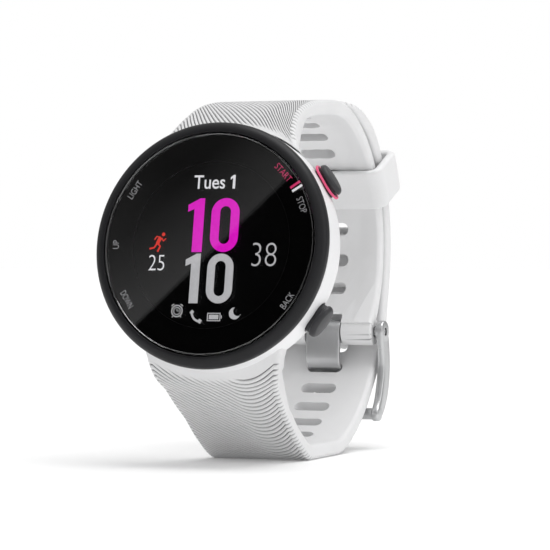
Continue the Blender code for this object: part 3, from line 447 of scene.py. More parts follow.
def lugNode(side, beyond, level, slope, half, thickness):
    lean = math.degrees(faceLean)
    heading = 90 - lean - slope if side > 0 else -90 - lean + slope
    return (*headPoint(side * (caseMm + beyond), level), heading, half, thickness)


def arcNodes(radius, start, end, half, thickness, turning):
    count = max(1, math.ceil(abs(end - start) / 40))
    angles = [start + (end - start) * i / count for i in range(count + 1)]
    return [(*loopPoint(radius, a), a + 90 * turning, half, thickness) for a in angles]


def followPath(nodes, step=0.25):
    # rows of y, z, direction y, direction z, half width, thickness, at even steps along Bezier segments
    rows = []
    for i, (first, second) in enumerate(zip(nodes, nodes[1:])):
        p0, p3 = np.array(first[:2]), np.array(second[:2])
        chord = np.linalg.norm(p3 - p0)
        turns = (math.radians(node[2]) for node in (first, second))
        out, into = (np.array((math.cos(turn), math.sin(turn))) for turn in turns)
        p1, p2 = p0 + out * chord * strap["handle"], p3 - into * chord * strap["handle"]
        count = max(2, round(chord / step))
        for k in range(0 if i == 0 else 1, count + 1):
            t = k / count
            s = 1 - t
            point = p0 * s**3 + p1 * 3 * s * s * t + p2 * 3 * s * t * t + p3 * t**3
            along = (p1 - p0) * s * s + (p2 - p1) * 2 * s * t + (p3 - p2) * t * t
            along = along / np.linalg.norm(along)
            rows.append((*point, *along, first[3] * s + second[3] * t, first[4] * s + second[4] * t))
    rows = np.array(rows)
    steps = np.linalg.norm(np.diff(rows[:, :2], axis=0), axis=1)
    return np.concatenate([[0], np.cumsum(steps)]), rows


def upperNodes():
    half = strap["half"]
    nodes = [
        lugNode(1, -6.6, -2.4, 5, half + 3.9, 2.8),
        lugNode(1, -2.1, -3.4, 28, half + 2.7, 3.4),
        lugNode(1, -0.1, -4.9, 43, half + 1.75, 3.9),
        lugNode(1, 3.4, -8.6, 53, half + 0.8, 3.8),
        lugNode(1, 5.5, -12.0, 64, half + 0.6, strap["thickness"]),
        (*loopPoint(strap["loopRadius"], 93), 3, half + 0.3, strap["thickness"]),
    ]
    return nodes + arcNodes(strap["loopRadius"], 93, -38, half, strap["thickness"], -1)[1:]


def lowerNodes():
    half, thick, tail = strap["half"], strap["thickness"], strap["tailThickness"]
    floor = -headHeight
    nodes = [
        lugNode(-1, -6.6, -2.5, 5, half + 3.5, 2.8),
        lugNode(-1, -2.1, -3.1, 18, half + 2.3, 3.4),
        lugNode(-1, 1.0, -5.0, 46, half + 1.6, 3.9),
        lugNode(-1, 2.6, -7.65, 58, half + 0.8, 3.8),
        lugNode(-1, 6.2, -14.2, 65, half + 0.1, thick),
        (strap["footFront"] - 6.4, floor + 3.2, -31, half, thick),
        (strap["footFront"] - 0.3, floor + 0.045, -14, half, thick),
        (strap["footFront"], floor, 0, half, thick),
        (strap["footBack"], floor, 0, half, thick),
        (bar[0] - 10.8, bar[1] - 17.9, 27, half, thick),
        (bar[0] - 5.3, bar[1] - 14.3, 39, half, thick),
        (bar[0] - 1.4, bar[1] - 10.6, 47, half, thick),
        (bar[0] + strap["pass"] * 0.875, bar[1] - strap["pass"] * 0.485, 62, half, thick),
        (bar[0] + strap["pass"] * 1.12, bar[1] + strap["pass"] * 0.21, 75, half, tail),
    ]
    tip = []
    tapers = ((14, 9, 0, 2.2), (7, 11, 0.4, 1.6), (3, 9, 1.5, 1.3), (1, 5, 3.1, 1.15), (0, 5, 5.0, 1.05))
    for before, lean, inset, depth in tapers:
        angle = strap["tailEnd"] - before
        place = loopPoint(strap["loopRadius"] + 0.4 + depth, angle)
        tip.append((*place, angle + 90 + lean, half - inset, depth))
    return nodes + arcNodes(strap["tailRadius"], -8, strap["tailEnd"] - 32, half, tail, 1) + tip


def sectionColumns(edge):
    # once round the section: (share of the half width, past it, depth, from the inner face, ribs)
    turns = [math.radians(a) for a in (15, 35, 55, 75, 90)]
    columns = [(u, 0, 0, False, 1) for u in np.linspace(-1, 1, 29)]
    for side in (1, -1):
        corner = [(side, math.sin(a) * edge, (1 - math.cos(a)) * edge) for a in turns]
        down = [(s, b * side, d, False, max(0, 1 - d / edge)) for s, b, d in corner]
        up = [(s, b * side, -d, True, 0) for s, b, d in reversed(corner[:-1])]
        if side > 0:
            columns += down + up + [(u, 0, 0, True, 0) for u in np.linspace(1, -1, 7)]
        else:
            columns += up[::-1] + down[::-1]
    return columns + columns[:1]


def ribSlant(u, swirl):
    # how far along the strap a rib has moved at a share u of the half width
    slope, left, right, power = swirl
    middle = slope * u
    bend = right * np.clip((u - 0.25) / 0.75, 0, 1) ** power
    start = left * np.clip((-u - 0.4) / 0.6, 0, 1) ** 2
    return (middle + bend - start) * strap["half"]


def ribbedStrap(name, nodes, outward, swirl):
    distance, rows = followPath(nodes)
    length = distance[-1]
    edge = strap["edge"]
    columns = sectionColumns(edge)
    slant = np.array([ribSlant(c[0], swirl) for c in columns])
    reach = max(abs(slant.min()), abs(slant.max())) + 1
    rowStep = strap["ribPitch"] / strap["rowsPerRib"]
    starts = np.arange(-reach, length + reach, rowStep)
    phase = (starts / strap["ribPitch"]) % 1.0
    groove = np.clip(1 - np.abs(phase - 0.5) / 0.24, 0, 1)
    groove = groove * groove * (3 - 2 * groove)
    s = np.clip(starts[:, None] + slant[None, :], 0, length)
    y, z, dy, dz, half, thick = (np.interp(s, distance, rows[:, k]) for k in range(6))
    size = np.hypot(dy, dz)
    normalY, normalZ = dz / size * outward, -dy / size * outward
    share, beyond, sink, onInside, ribbed = (np.array([c[k] for c in columns])[None, :] for k in range(5))
    x = share * (half - edge) + beyond
    depth = np.where(onInside, thick + sink, sink)
    headRadius = np.hypot(x, z * math.cos(faceLean) + y * math.sin(faceLean))
    clear = np.clip((headRadius - caseMm - strap["margin"]) / 0.35, 0, 1)
    clear = np.where(y > 14, 1.0, clear)
    ends = np.clip(np.minimum(s, length - s) / 0.8, 0, 1)
    relief = groove[:, None] * strap["ribDepth"] * ribbed * clear * ends
    depth = depth + relief
    points = np.stack([x, y - normalY * depth - headForward, z - normalZ * depth + headHeight], axis=2) * mm
    piece = gridPiece(name, points)
    # the depth of each groove, which the material turns into painted shade
    shade = piece.data.attributes.new("groove", "FLOAT", "POINT")
    depths = np.ascontiguousarray(relief / strap["ribDepth"], dtype=np.float32)
    shade.data.foreach_set("value", depths.reshape(-1))
    cleanMesh(piece, 0.003 * mm)
    fillEnds(piece)
    return piece, distance, rows


def pathPlace(distance, rows, s):
    # the frame of the path at a distance along it: X across, Y along, Z into the strap
    y, z, dy, dz, half, thick = (float(np.interp(s, distance, rows[:, k])) for k in range(6))
    return y, z, Vector((dy, dz)).normalized(), thick


def slotCutter(place, outward, length=6.4, width=2.2):
    y, z, along, thick = place
    normal = Vector((along.y, -along.x)) * outward
    cutter = pillPiece("slotCutter", length * mm, width * mm, -2 * thick * mm, 2 * thick * mm, 24)
    matrix = Matrix(((1, 0, 0, 0), (0, along.x, -normal.x, (y - headForward) * mm),
                     (0, along.y, -normal.y, (z + headHeight) * mm), (0, 0, 0, 1)))
    return placeInMesh(cutter, matrix)


def acrossRod(name, radius, half, centre, segments=64):
    # a rod along X at a place measured from the head's middle
    deselectAll()
    bpy.ops.mesh.primitive_cylinder_add(vertices=segments, radius=radius * mm, depth=2 * half * mm)
    rod = bpy.context.object
    rod.name = name
    y, z = (centre[0] - headForward) * mm, (centre[1] + headHeight) * mm
    return placeInMesh(rod, Matrix.Translation((0, y, z)) @ Matrix.Rotation(math.pi / 2, 4, "Y"))


def boxPiece(name, low, high):
    deselectAll()
    low, high = Vector(low), Vector(high)
    bpy.ops.mesh.primitive_cube_add(size=1)
    piece = bpy.context.object
    piece.name = name
    return placeInMesh(piece, Matrix.Translation((low + high) / 2) @ Matrix.Diagonal((*(high - low), 1)))


def caseKeepout():
    gap = caseMm + 0.3
    rings = [(0, 3), (gap, 3), (gap, -3.9), (gap - 0.31, -6.0), (gap - 1.0, -8.1), (gap - 2.4, -9.9),
             (gap - 2.4, -11.4), (0, -11.4)]
    return placeInMesh(turnedPiece("caseKeepout", rings, 192), headMatrix)


# upper strap: nine slots, the knuckle round the bar, and the notch for the tongue
upperSlots = (82, 70.5, 59, 47, 34.5, 21.5, 7.5, -7, -20.5)
upperSwirl = (-1.25, -0.15, -0.75, 2.0)
lowerSwirl = (0.95, 0.1, -0.95, 1.7)


def upperStrap():
    upperSkin, distance, rows = ribbedStrap("upper_strap_skin", upperNodes(), -1, upperSwirl)
    cutWith(upperSkin, caseKeepout())
    knuckle = applyBevel(acrossRod("knuckle", strap["knuckle"], strap["half"] - 0.1, bar), 0.35 * mm)
    cutWith(upperSkin, knuckle, "UNION")
    barY, barZ = barCentre.y / mm, barCentre.z / mm
    notch = boxPiece("notch", Vector((-3.4, barY - 3, barZ - 3)) * mm, Vector((3.4, barY + 3, barZ + 3)) * mm)
    cutWith(upperSkin, applyBevel(notch, 0.25 * mm, 2))
    cutWith(upperSkin, acrossRod("barBore", 1.0, 10, bar, 32))
    cutters = []
    for angle in upperSlots:
        turn = math.radians(angle - 90)
        along = Vector((math.cos(turn), math.sin(turn)))
        place = (*loopPoint(strap["loopRadius"], angle), along, strap["thickness"])
        cutters.append(slotCutter(place, -1))
    cutWith(upperSkin, joinPieces(cutters, "slotCutters"))
    cleanMesh(upperSkin)
    smoothByAngle(upperSkin, 40)
    paint(upperSkin, siliconeRibbed)
    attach(upperSkin, "head_and_strap")
    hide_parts("upper_strap")
    print("upper strap:", len(upperSkin.data.polygons), "faces")


upperStrap()


# lower strap: the long tail with its row of holes
def lowerStrap():
    lowerSkin, distance, rows = ribbedStrap("lower_strap_skin", lowerNodes(), 1, lowerSwirl)
    # the row is counted both ways from the slot that the tongue goes through
    tongueSlot = np.array((bar[0] + 0.9, bar[1] - 7.7))
    middle = distance[np.argmin(np.linalg.norm(rows[:, :2] - tongueSlot, axis=1))]
    cutters = []
    index = -strap["slotsBefore"]
    while middle + index * strap["slotPitch"] < distance[-1] - strap["slotMargin"]:
        cutters.append(slotCutter(pathPlace(distance, rows, middle + index * strap["slotPitch"]), 1))
        index += 1
    cutWith(lowerSkin, joinPieces(cutters, "slotCutters"))
    cleanMesh(lowerSkin)
    smoothByAngle(lowerSkin, 40)
    paint(lowerSkin, siliconeRibbed)
    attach(lowerSkin, "head_and_strap")
    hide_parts("lower_strap")
    print("lower strap:", len(lowerSkin.data.polygons), "faces,", len(cutters), "slots")


lowerStrap()


# ---- the head: bezel, case side and lens stack

bezelLook = {"rise": 1.6, "skirt": 0.3, "flare": 0.05}


def bezelRing():
    edge = lensRadius / mm + 0.25
    outside = caseMm + bezelLook["flare"]
    rise = bezelLook["rise"]
    arc = []
    for step in range(13):
        turn = math.pi / 2 * step / 12
        reach = edge + 0.14 + (outside - edge - 0.14) * math.sin(turn) ** 1.15
        arc.append((reach, rise * math.cos(turn) ** 0.8))
    rings = [(edge, 0.15), (edge, rise - 0.14), (edge + 0.04, rise - 0.04)] + arc
    rings += [(outside, -bezelLook["skirt"] + 0.06), (outside - 0.06, -bezelLook["skirt"]),
              (edge - 1.55, -bezelLook["skirt"]), (edge - 1.55, 0.15), (edge, 0.15)]
    ring = turnedPiece("bezel_ring_fine", rings, 256)
    placeInMesh(ring, headMatrix)
    smoothByAngle(ring, 40)
    paint(ring, resinCharcoal)
    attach(ring, "head_and_strap")
    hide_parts("bezel_ring")
    return ring


bezelRing()


def lensPane():
    radius = lensRadius / mm
    rings = [(0, 0.85), (radius - 0.05, 0.85), (radius, 0.9), (radius, 1.42), (radius - 0.06, 1.52),
             (radius - 0.18, 1.58), (radius - 0.4, 1.6), (radius - 0.5, 1.6), (radius - 0.7, 1.6), (0, 1.6)]
    pane = turnedPiece("lens_pane", rings, 256)
    placeInMesh(pane, headMatrix)
    smoothByAngle(pane, 30)
    paint(pane, lensClear)
    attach(pane, "head_and_strap")
    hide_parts("lens_glass")
    return pane


lensPane()


# the case wall is open inside for the pieces it holds, with a pocket for each button
buttonAngles = {"start": 33, "back": -33, "light": 147, "up": 180, "down": 213}
caseLook = {"straight": 3.9, "back": 9.9, "taper": 2.4, "wall": 2.4, "pocket": (5.5, 3.5), "pocketDepth": 1.1}


def caseWall():
    radius, taper, back, straight = caseMm, caseLook["taper"], caseLook["back"], caseLook["straight"]
    side = [(radius - 0.08, -0.5), (radius, -0.58), (radius, -straight)]
    for step in range(1, 13):
        share = step / 12
        side.append((radius - taper * share ** 1.9, -straight - (back - straight) * share))
    side[-1] = (radius - taper, -back + 0.08)
    side.append((radius - taper - 0.08, -back))
    mouth, ledge, bore = radius - taper - 0.75, radius - 5.65, radius - caseLook["wall"]
    inner = [(mouth, -back), (mouth, -back + 1.2), (ledge, -back + 1.2), (ledge, -back + 2.2),
             (bore, -back + 2.2), (bore, -0.5), (radius - 0.08, -0.5)]
    wall = turnedPiece("case_wall", side + inner, 256)
    cutters = []
    for angle in buttonAngles.values():
        pocket = pillPiece("pocket", caseLook["pocket"][0] * mm, caseLook["pocket"][1] * mm, 0, 5 * mm, 40)
        cutters.append(placeInMesh(pocket, headMatrix.inverted() @ radialMatrix(
            angle, (radius - caseLook["pocketDepth"]) * mm, -5 * mm)))
    cutWith(wall, joinPieces(cutters, "pockets"))
    cleanMesh(wall)
    applyBevel(wall, 0.12 * mm, 2, 50)
    placeInMesh(wall, headMatrix)
    smoothByAngle(wall, 40)
    paint(wall, resinWhite)
    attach(wall, "head_and_strap")
    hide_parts("case_body")
    return wall


caseWall()
print("head made")


# ---- buttons: domed caps, and the accent collar round the start button

capLook = {"length": 5.0, "width": 3.0, "seat": -0.4, "head": (5.5, 3.9), "rim": 0.75,
           "under": {"start": 0.85, "back": 0.6},
           "proud": {"start": 1.8, "back": 1.7, "light": 0.8, "up": 0.8, "down": 0.9}}


def capHead(name, under, top):
    # an oval head, wider than its shank, with a deeply rounded rim
    length, width = capLook["head"]
    rim = capLook["rim"]
    rings = [(0, under), (length / 2 - 0.15, under), (length / 2, under + 0.12)]
    for step in range(9):
        turn = math.pi / 2 * step / 8
        rings.append((length / 2 - rim * (1 - math.cos(turn)), top - rim + (rim - 0.07) * math.sin(turn)))
    rings += [(length / 4, top - 0.02), (0, top)]
    head = turnedPiece(name + "_head", rings, 72)
    return placeInMesh(head, Matrix.Diagonal((1, width / length, 1, 1)))


def buttonCap(name):
    proud = capLook["proud"][name]
    base = caseMm + capLook["seat"]
    top = caseMm + proud - base
    height = top
    if name in capLook["under"]:
        under = caseMm + capLook["under"][name] - base
        height = under + 0.2
    cap = pillPiece(name + "_cap", capLook["length"] * mm, capLook["width"] * mm, 0, height * mm, 56)
    # a plain cap is rounded at its outer rim; under a head the edge is only broken
    makeActive(cap)
    bpy.ops.object.mode_set(mode="EDIT")
    bpy.ops.mesh.select_all(action="DESELECT")
    bpy.ops.mesh.select_mode(type="EDGE")
    bpy.ops.object.mode_set(mode="OBJECT")
    verts = cap.data.vertices
    for edge in cap.data.edges:
        edge.select = all(verts[v].co.z > height * mm * 0.9 for v in edge.vertices)
    bpy.ops.object.mode_set(mode="EDIT")
    rim = 0.05 if name in capLook["under"] else 0.6
    bpy.ops.mesh.bevel(offset=rim * mm, segments=7, affect="EDGES", clamp_overlap=True)
    bpy.ops.mesh.select_mode(type="VERT")
    bpy.ops.object.mode_set(mode="OBJECT")
    if name in capLook["under"]:
        cutWith(cap, capHead(name, under, top), "UNION")
    deselectAll()
    bpy.ops.mesh.primitive_cylinder_add(vertices=24, radius=0.6 * mm, depth=2.6 * mm,
                                        location=(0, 0, -1.1 * mm))
    stem = placeInMesh(bpy.context.object, Matrix())
    cutWith(cap, stem, "UNION")
    cleanMesh(cap)
    placeInMesh(cap, radialMatrix(buttonAngles[name], base * mm, -5 * mm))
    smoothByAngle(cap, 40)
    paint(cap, capCharcoal if name in ("start", "back") else resinBlack)
    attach(cap, name + "_push")
    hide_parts(name + "_button")
    "charcoal_resin" if name in ("start", "back") else "black_resin"
    return cap


for name in buttonAngles:
    buttonCap(name)


collarLook = {"outer": (6.3, 4.3), "inner": (5.5, 3.5), "low": 0.2, "high": 0.55}


def startCollar():
    length, width = collarLook["outer"]
    low, high = collarLook["low"] * mm, collarLook["high"] * mm
    outer = pillPiece("start_collar", length * mm, width * mm, low, high, 56)
    length, width = collarLook["inner"]
    hole = pillPiece("hole", length * mm, width * mm, -1 * mm, 2 * mm, 56)
    cutWith(outer, hole)
    applyBevel(outer, 0.1 * mm, 3, 50)
    placeInMesh(outer, radialMatrix(buttonAngles["start"], caseRadius, -5 * mm))
    smoothByAngle(outer, 40)
    paint(outer, resinPink)
    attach(outer, "head_and_strap")
    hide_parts("start_button_ring")
    return outer


startCollar()
print("buttons made")


# ---- keeper: a soft loop whose section is a rounded frame, carried round the strap's curve

keeperLook = {"angle": 28, "length": 7.3, "low": 20.0, "high": 30.9, "half": 10.8, "inner": 1.3, "outer": 1.6,
              "side": 1.5, "corner": 2.4, "round": 0.07, "skew": 1.6}


def keeperLoop():
    look = keeperLook
    # across the wall: the outside, a round lip, the inside, a round lip
    lip = look["round"]
    flat = 0.5 - lip
    across = [(t, 0.0) for t in np.linspace(-flat, flat, 9)]
    turns = np.linspace(0, math.pi, 9)[1:-1]
    rounds = [(flat + lip * math.sin(a), 0.5 * (1 - math.cos(a))) for a in turns]
    insideRow = [(t, 1.0) for t in np.linspace(flat, -flat, 5)]
    back = [(-t, d) for t, d in rounds[::-1]]
    section = across + rounds + insideRow + back
    section.append(section[0])
    rim = []
    corner = look["corner"]
    for sideX, sideR in ((1, 1), (-1, 1), (-1, -1), (1, -1)):
        for step in range(9):
            sweep = step / 8 if sideX == sideR else 1 - step / 8
            angle = math.pi / 2 * sweep
            rim.append((sideX, sideR, math.cos(angle), math.sin(angle)))
        # a few columns along the flat
        if sideR > 0 and sideX > 0 or sideR < 0 and sideX < 0:
            shares = (0.6, 0.2, -0.2, -0.6) if sideX > 0 else (-0.6, -0.2, 0.2, 0.6)
            rim += [(share, sideR, None, None) for share in shares]
    rim.append(rim[0])
    points = np.zeros((len(rim), len(section), 3))
    for i, (sideX, sideR, c, s) in enumerate(rim):
        wall = look["outer"] if sideR > 0 else look["inner"]
        base = look["high"] if sideR > 0 else look["low"]
        innerCorner = max(corner - wall, 0.5)
        for j, (t, depth) in enumerate(section):
            if c is None:
                x = sideX * (look["half"] - corner)
                r = base - sideR * wall * depth
            else:
                outX = look["half"] - corner * (1 - c)
                outR = base - sideR * corner * (1 - s)
                inX = look["half"] - look["side"] - innerCorner * (1 - c)
                inR = base - sideR * (wall + innerCorner * (1 - s))
                x = sideX * (outX + (inX - outX) * depth)
                r = outR + (inR - outR) * depth
            reach = (r - look["low"]) / (look["high"] - look["low"])
            turn = math.radians(look["angle"] - look["skew"] * reach) + look["length"] / r * t
            y, z = loopCentre.y + r * math.cos(turn) * mm, loopCentre.z + r * math.sin(turn) * mm
            points[i, j] = (x * mm, y, z)
    keeper = gridPiece("keeper_soft", points)
    cleanMesh(keeper)
    smoothByAngle(keeper, 60)
    paint(keeper, silicone)
    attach(keeper, "keeper")
    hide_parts("keeper_loop")
    return keeper


keeperLoop()
print("keeper made")


# ---- buckle: a bent tongue, two arms with a far bar, and the spring bar through them

buckleLook = {"arm": 1.4, "depth": 3.2, "farRadius": 1.0, "inner": 9.5, "tongueHalf": 3.1, "tongueThick": 0.8,
              "tongueRing": 2.1}


def bandPiece(name, nodes, edge, offsetX, step=0.5):
    # a rounded flat bar whose middle follows the nodes
    distance, rows = followPath(nodes, step)
    columns = sectionColumns(edge)
    share, beyond, sink, onInside = (np.array([c[k] for c in columns])[None, :] for k in range(4))
    y, z, dy, dz, half, thick = (rows[:, k][:, None] for k in range(6))
    depth = np.where(onInside, thick + sink, sink) - thick / 2
    x = share * (half - edge) + beyond + offsetX
    points = np.stack([x + 0 * y, y - dz * depth - headForward, z + dy * depth + headHeight], axis=2) * mm
    piece = gridPiece(name, points)
    cleanMesh(piece, 0.003 * mm)
    return fillEnds(piece)


def buckleFrame():
    look = buckleLook
    y, z = bar
    far = (y - 2.8, z - 14.1)
    half = look["arm"] / 2
    nodes = [
        (y, z, -80, half, look["depth"] + 0.3),
        (y + 0.9, z - 5.7, -90, half, look["depth"] + 0.2),
        (y - 0.2, z - 10.6, -113, half, look["depth"] + 0.2),
        (*far, -140, half, 2.5 * look["farRadius"]),
    ]
    piece = acrossRod("buckle_frame_fine", look["farRadius"], look["inner"] + look["arm"] - 0.05, far, 48)
    applyBevel(piece, 0.3 * mm, 3)
    for side in (1, -1):
        offset = side * (look["inner"] + half)
        arm = bandPiece("arm", nodes, 0.55, offset)
        cutWith(piece, arm, "UNION")
        # a round boss at each end of the arm
        bosses = ((look["depth"] / 2 + 0.3, bar, 64), (1.25 * look["farRadius"], far, 48))
        for radius, place, segments in bosses:
            boss = acrossRod("boss", radius, half, place, segments)
            placeInMesh(boss, Matrix.Translation((offset * mm, 0, 0)))
            applyBevel(boss, 0.35 * mm, 4)
            cutWith(piece, boss, "UNION")
    cutWith(piece, acrossRod("tipBore", 0.7, 14, bar, 32))
    cleanMesh(piece)
    smoothByAngle(piece, 45)
    paint(piece, steelSatin)
    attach(piece, "buckle")
    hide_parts("buckle_frame")
    return piece


def buckleTongue():
    look = buckleLook
    y, z = bar
    half, thick = look["tongueHalf"], look["tongueThick"]
    nodes = [
        (y - look["tongueRing"] + thick / 2, z, -90, half, thick),
        (y - 1.9, z - 5.0, -86, half, thick),
        (y - 0.1, z - 6.9, -38, half - 0.1, thick),
        (y + 1.9, z - 9.5, -72, half - 0.3, thick),
        (y + 0.9, z - 13.3, -113, half - 0.4, thick),
        (y - 1.7, z - 16.1, -138, half - 0.7, 0.8 * thick),
    ]
    piece = acrossRod("buckle_tongue_fine", look["tongueRing"], half, bar, 64)
    applyBevel(piece, 0.22 * mm, 3)
    cutWith(piece, bandPiece("blade", nodes, 0.3, 0), "UNION")
    cutWith(piece, acrossRod("ringBore", 1.0, 6, bar, 32))
    cleanMesh(piece)
    smoothByAngle(piece, 45)
    paint(piece, steelDark)
    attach(piece, "tongue")
    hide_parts("buckle_tongue")
    return piece


buckleFrame()
buckleTongue()
print("buckle made")


# ---- dial: graphics of the screen and the ring of labels, each flat just above what it is printed on

dialLook = {"screen": 0.02, "border": 0.618, "print": 0.632, "labelRadius": 16.2, "labelHeight": 1.05}
inkWhite = printFinish("screen_white", (0.80, 0.80, 0.82), (0.86, 0.86, 0.88))
inkSoft = printFinish("screen_soft", (0.50, 0.50, 0.51), (0.55, 0.55, 0.56))
inkMagenta = printFinish("screen_magenta", (0.76, 0.006, 0.56), (0.82, 0.012, 0.62))
inkRed = printFinish("screen_red", (0.72, 0.03, 0.02), (0.78, 0.05, 0.03))
# the label inks, grey here and pink below, glow too: painted light, as printed ink gives none
labelInkPaintedGlow = printFinish("label_grey_painted_glow", (0.30, 0.30, 0.31), (0.36, 0.36, 0.37))
inkBorder = plainFinish("border_ink", ((0.0010, 0.0010, 0.0011), (0.0016, 0.0016, 0.0018)), (0.4, 0.5), 900,
                        Specular_IOR_Level=0.02)
pinkInkPaintedGlow = printFinish("label_pink_painted_glow", (0.60, 0.03, 0.13), (0.68, 0.05, 0.17))


def faceMatrix(x, up, level, turn=0):
    spot = Matrix.Translation((x * mm, up * mm, level * mm))
    return headMatrix @ spot @ Matrix.Rotation(math.radians(turn), 4, "Z")


def textPiece(name, words, height, width, matrix, ink, weight):
    # letters turned into a mesh, then fitted to their height and width round their own middle
    deselectAll()
    bpy.ops.object.text_add()
    label = bpy.context.object
    label.name = name
    label.data.body = words
    label.data.size = 1
    label.data.offset = weight
    label.data.align_x = "CENTER"
    label.data.resolution_u = 6
    bpy.ops.object.convert(target="MESH")
    label = bpy.context.object
    corners = np.array([v.co[:] for v in label.data.vertices])
    low, high = corners.min(axis=0), corners.max(axis=0)
    size = high - low
    middle = (low + high) / 2
    scale = Matrix.Diagonal((width * mm / size[0], height * mm / size[1], 1, 1))
    fit = scale @ Matrix.Translation(-Vector(middle))
    placeInMesh(label, matrix @ fit)
    cleanMesh(label, 0.0005 * mm)
    paint(label, ink)
    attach(label, "head_and_strap")
    return label


def arcLine(x, y, radius, start, end, steps=16):
    turns = [math.radians(start + (end - start) * k / steps) for k in range(steps + 1)]
    return [(x + radius * math.cos(turn), y + radius * math.sin(turn)) for turn in turns]


def flatShape(name, outlines, matrix, ink):
    # closed outlines in mm; one inside another is a hole
    deselectAll()
    curve = bpy.data.curves.new(name, "CURVE")
    curve.dimensions = "2D"
    curve.fill_mode = "BOTH"
    for outline in outlines:
        spline = curve.splines.new("POLY")
        spline.points.add(len(outline) - 1)
        for point, (x, y) in zip(spline.points, outline):
            point.co = (x, y, 0, 1)
        spline.use_cyclic_u = True
    shape = bpy.data.objects.new(name, curve)
    bpy.context.scene.collection.objects.link(shape)
    makeActive(shape)
    bpy.ops.object.convert(target="MESH")
    shape = bpy.context.object
    placeInMesh(shape, matrix @ Matrix.Diagonal((mm, mm, mm, 1)))
    paint(shape, ink)
    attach(shape, "head_and_strap")
    return shape


def circleLine(x, y, radius, steps=32):
    return arcLine(x, y, radius, 0, 360 - 360 / steps, steps - 1)


def stadium(x, y, width, height, steps=14):
    r = width / 2
    top = arcLine(x, y + height / 2 - r, r, 0, 180, steps)
    return top + arcLine(x, y - height / 2 + r, r, 180, 360, steps)


def thickLine(points, width):
    # an outline round a bent line of even width
    points = [Vector(p) for p in points]
    left, right = [], []
    for i, point in enumerate(points):
        before = points[max(i - 1, 0)]
        after = points[min(i + 1, len(points) - 1)]
        along = (after - before).normalized()
        side = Vector((-along.y, along.x)) * width / 2
        left.append(tuple(point + side))
        right.append(tuple(point - side))
    return left + right[::-1]


def bigDigits(name, x, up, width, height, stem, ink):
    # a one with a flag and a narrow nought, both with heavy upright strokes
    left = -width / 2
    flag = 0.62 * stem
    top = height / 2
    one = [(left + flag, -top), (left + flag + stem, -top), (left + flag + stem, top),
           (left + flag + 0.55 * stem, top),
           (left, top - 0.12 * height), (left, top - 0.25 * height), (left + flag, top - 0.2 * height)]
    nought = width - flag - stem - 1.25
    middle = width / 2 - nought / 2
    outer = stadium(middle, 0, nought, height, 18)
    inner = stadium(middle, 0, nought - 1.72 * stem, height - 1.5 * stem, 14)
    return flatShape(name, [one, outer, inner], faceMatrix(x, up, dialLook["screen"]), ink)


level = dialLook["screen"]
bigDigits("screen_hours", 0.0, 3.2, 8.8, 8.6, 1.72, inkMagenta)
bigDigits("screen_minutes", -0.1, -5.3, 8.2, 7.9, 1.55, inkSoft)
textPiece("screen_day", "Tues", 2.2, 5.3, faceMatrix(-1.05, 10.1, level), inkWhite, 0.01)
date = [(-0.1, -1.1), (0.32, -1.1), (0.32, 1.1), (0.0, 1.1), (-0.5, 0.72), (-0.5, 0.34), (-0.1, 0.6)]
flatShape("screen_date", [date], faceMatrix(3.0, 10.1, level), inkWhite)
textPiece("screen_left", "25", 2.5, 2.7, faceMatrix(-9.2, -2.8, level), inkWhite, -0.012)
textPiece("screen_right", "38", 3.7, 4.1, faceMatrix(9.0, -1.5, level), inkSoft, -0.02)

# small marks along the bottom of the screen: an alarm clock, a handset, a cell and a moon
clock = [circleLine(0, 0, 0.98), circleLine(0, 0, 0.8), circleLine(0, 0, 0.62), circleLine(0, 0, 0.5)]
hands = [thickLine([(0, 0.36), (0, 0), (0.3, 0)], 0.13)]
bells = [thickLine([(s * 0.55, 1.12), (s * 0.98, 0.78)], 0.15) for s in (1, -1)]
feet = [thickLine([(s * 0.62, -0.82), (s * 0.78, -1.02)], 0.13) for s in (1, -1)]
flatShape("screen_alarm", clock + hands + bells + feet, faceMatrix(-5.1, -10.5, level), inkSoft)
handset = thickLine(arcLine(1.0, 0.9, 1.55, 186, 264, 12), 0.34)
earLines = (((-0.72, 1.0), (-0.32, 0.66)), ((0.62, -0.42), (1.12, -0.74)))
earpieces = [thickLine(line, 0.62) for line in earLines]
flatShape("screen_phone", [handset], faceMatrix(-2.0, -11.5, level), inkSoft)
flatShape("screen_phone_ends", earpieces, faceMatrix(-2.0, -11.5, level + 0.002), inkSoft)
cell = [[(low, -half), (high, -half), (high, half), (low, half)] for low, high, half in
        ((-1.2, 1.05, 0.65), (-1.06, 0.91, 0.51), (-0.9, 0.72, 0.36), (1.13, 1.28, 0.26))]
flatShape("screen_cell", cell, faceMatrix(1.3, -11.4, level), inkSoft)
crescent = arcLine(0, 0, 0.95, 95, 350, 24) + arcLine(0.52, 0.36, 0.78, 318, 132, 20)
flatShape("screen_moon", [crescent], faceMatrix(4.7, -10.8, level), inkSoft)

# a runner leaning forwards
body = [
    thickLine([(0.5, 0.75), (0.2, 0.45), (-0.1, -0.25)], 0.62),
    circleLine(0.86, 1.28, 0.3, 16),
    thickLine([(0.42, 0.8), (-0.3, 0.95), (-0.62, 0.42)], 0.22),
    thickLine([(0.6, 0.72), (0.9, 0.22), (1.32, 0.62)], 0.22),
]
legs = [
    thickLine([(-0.05, -0.15), (0.42, -0.62), (0.02, -1.5)], 0.3),
    thickLine([(-0.15, -0.2), (-0.62, -0.86), (-1.4, -1.02)], 0.28),
]
for k, part in enumerate(body + legs):
    flatShape(f"screen_runner_{k + 1}", [part], faceMatrix(-9.2, 0.45, level + 0.002 * k), inkRed)

# black border printed under the glass, and the ring of labels on it
flatShape("lens_border", [circleLine(0, 0, 17.6, 160), circleLine(0, 0, 13.35, 160)],
          faceMatrix(0, 0, dialLook["border"]), inkBorder)


# labels, each turned with its place on the ring
printLevel = dialLook["print"]


def onRing(radius, angle, turn):
    turned = math.radians(angle)
    return faceMatrix(radius * math.cos(turned), radius * math.sin(turned), printLevel, turn)
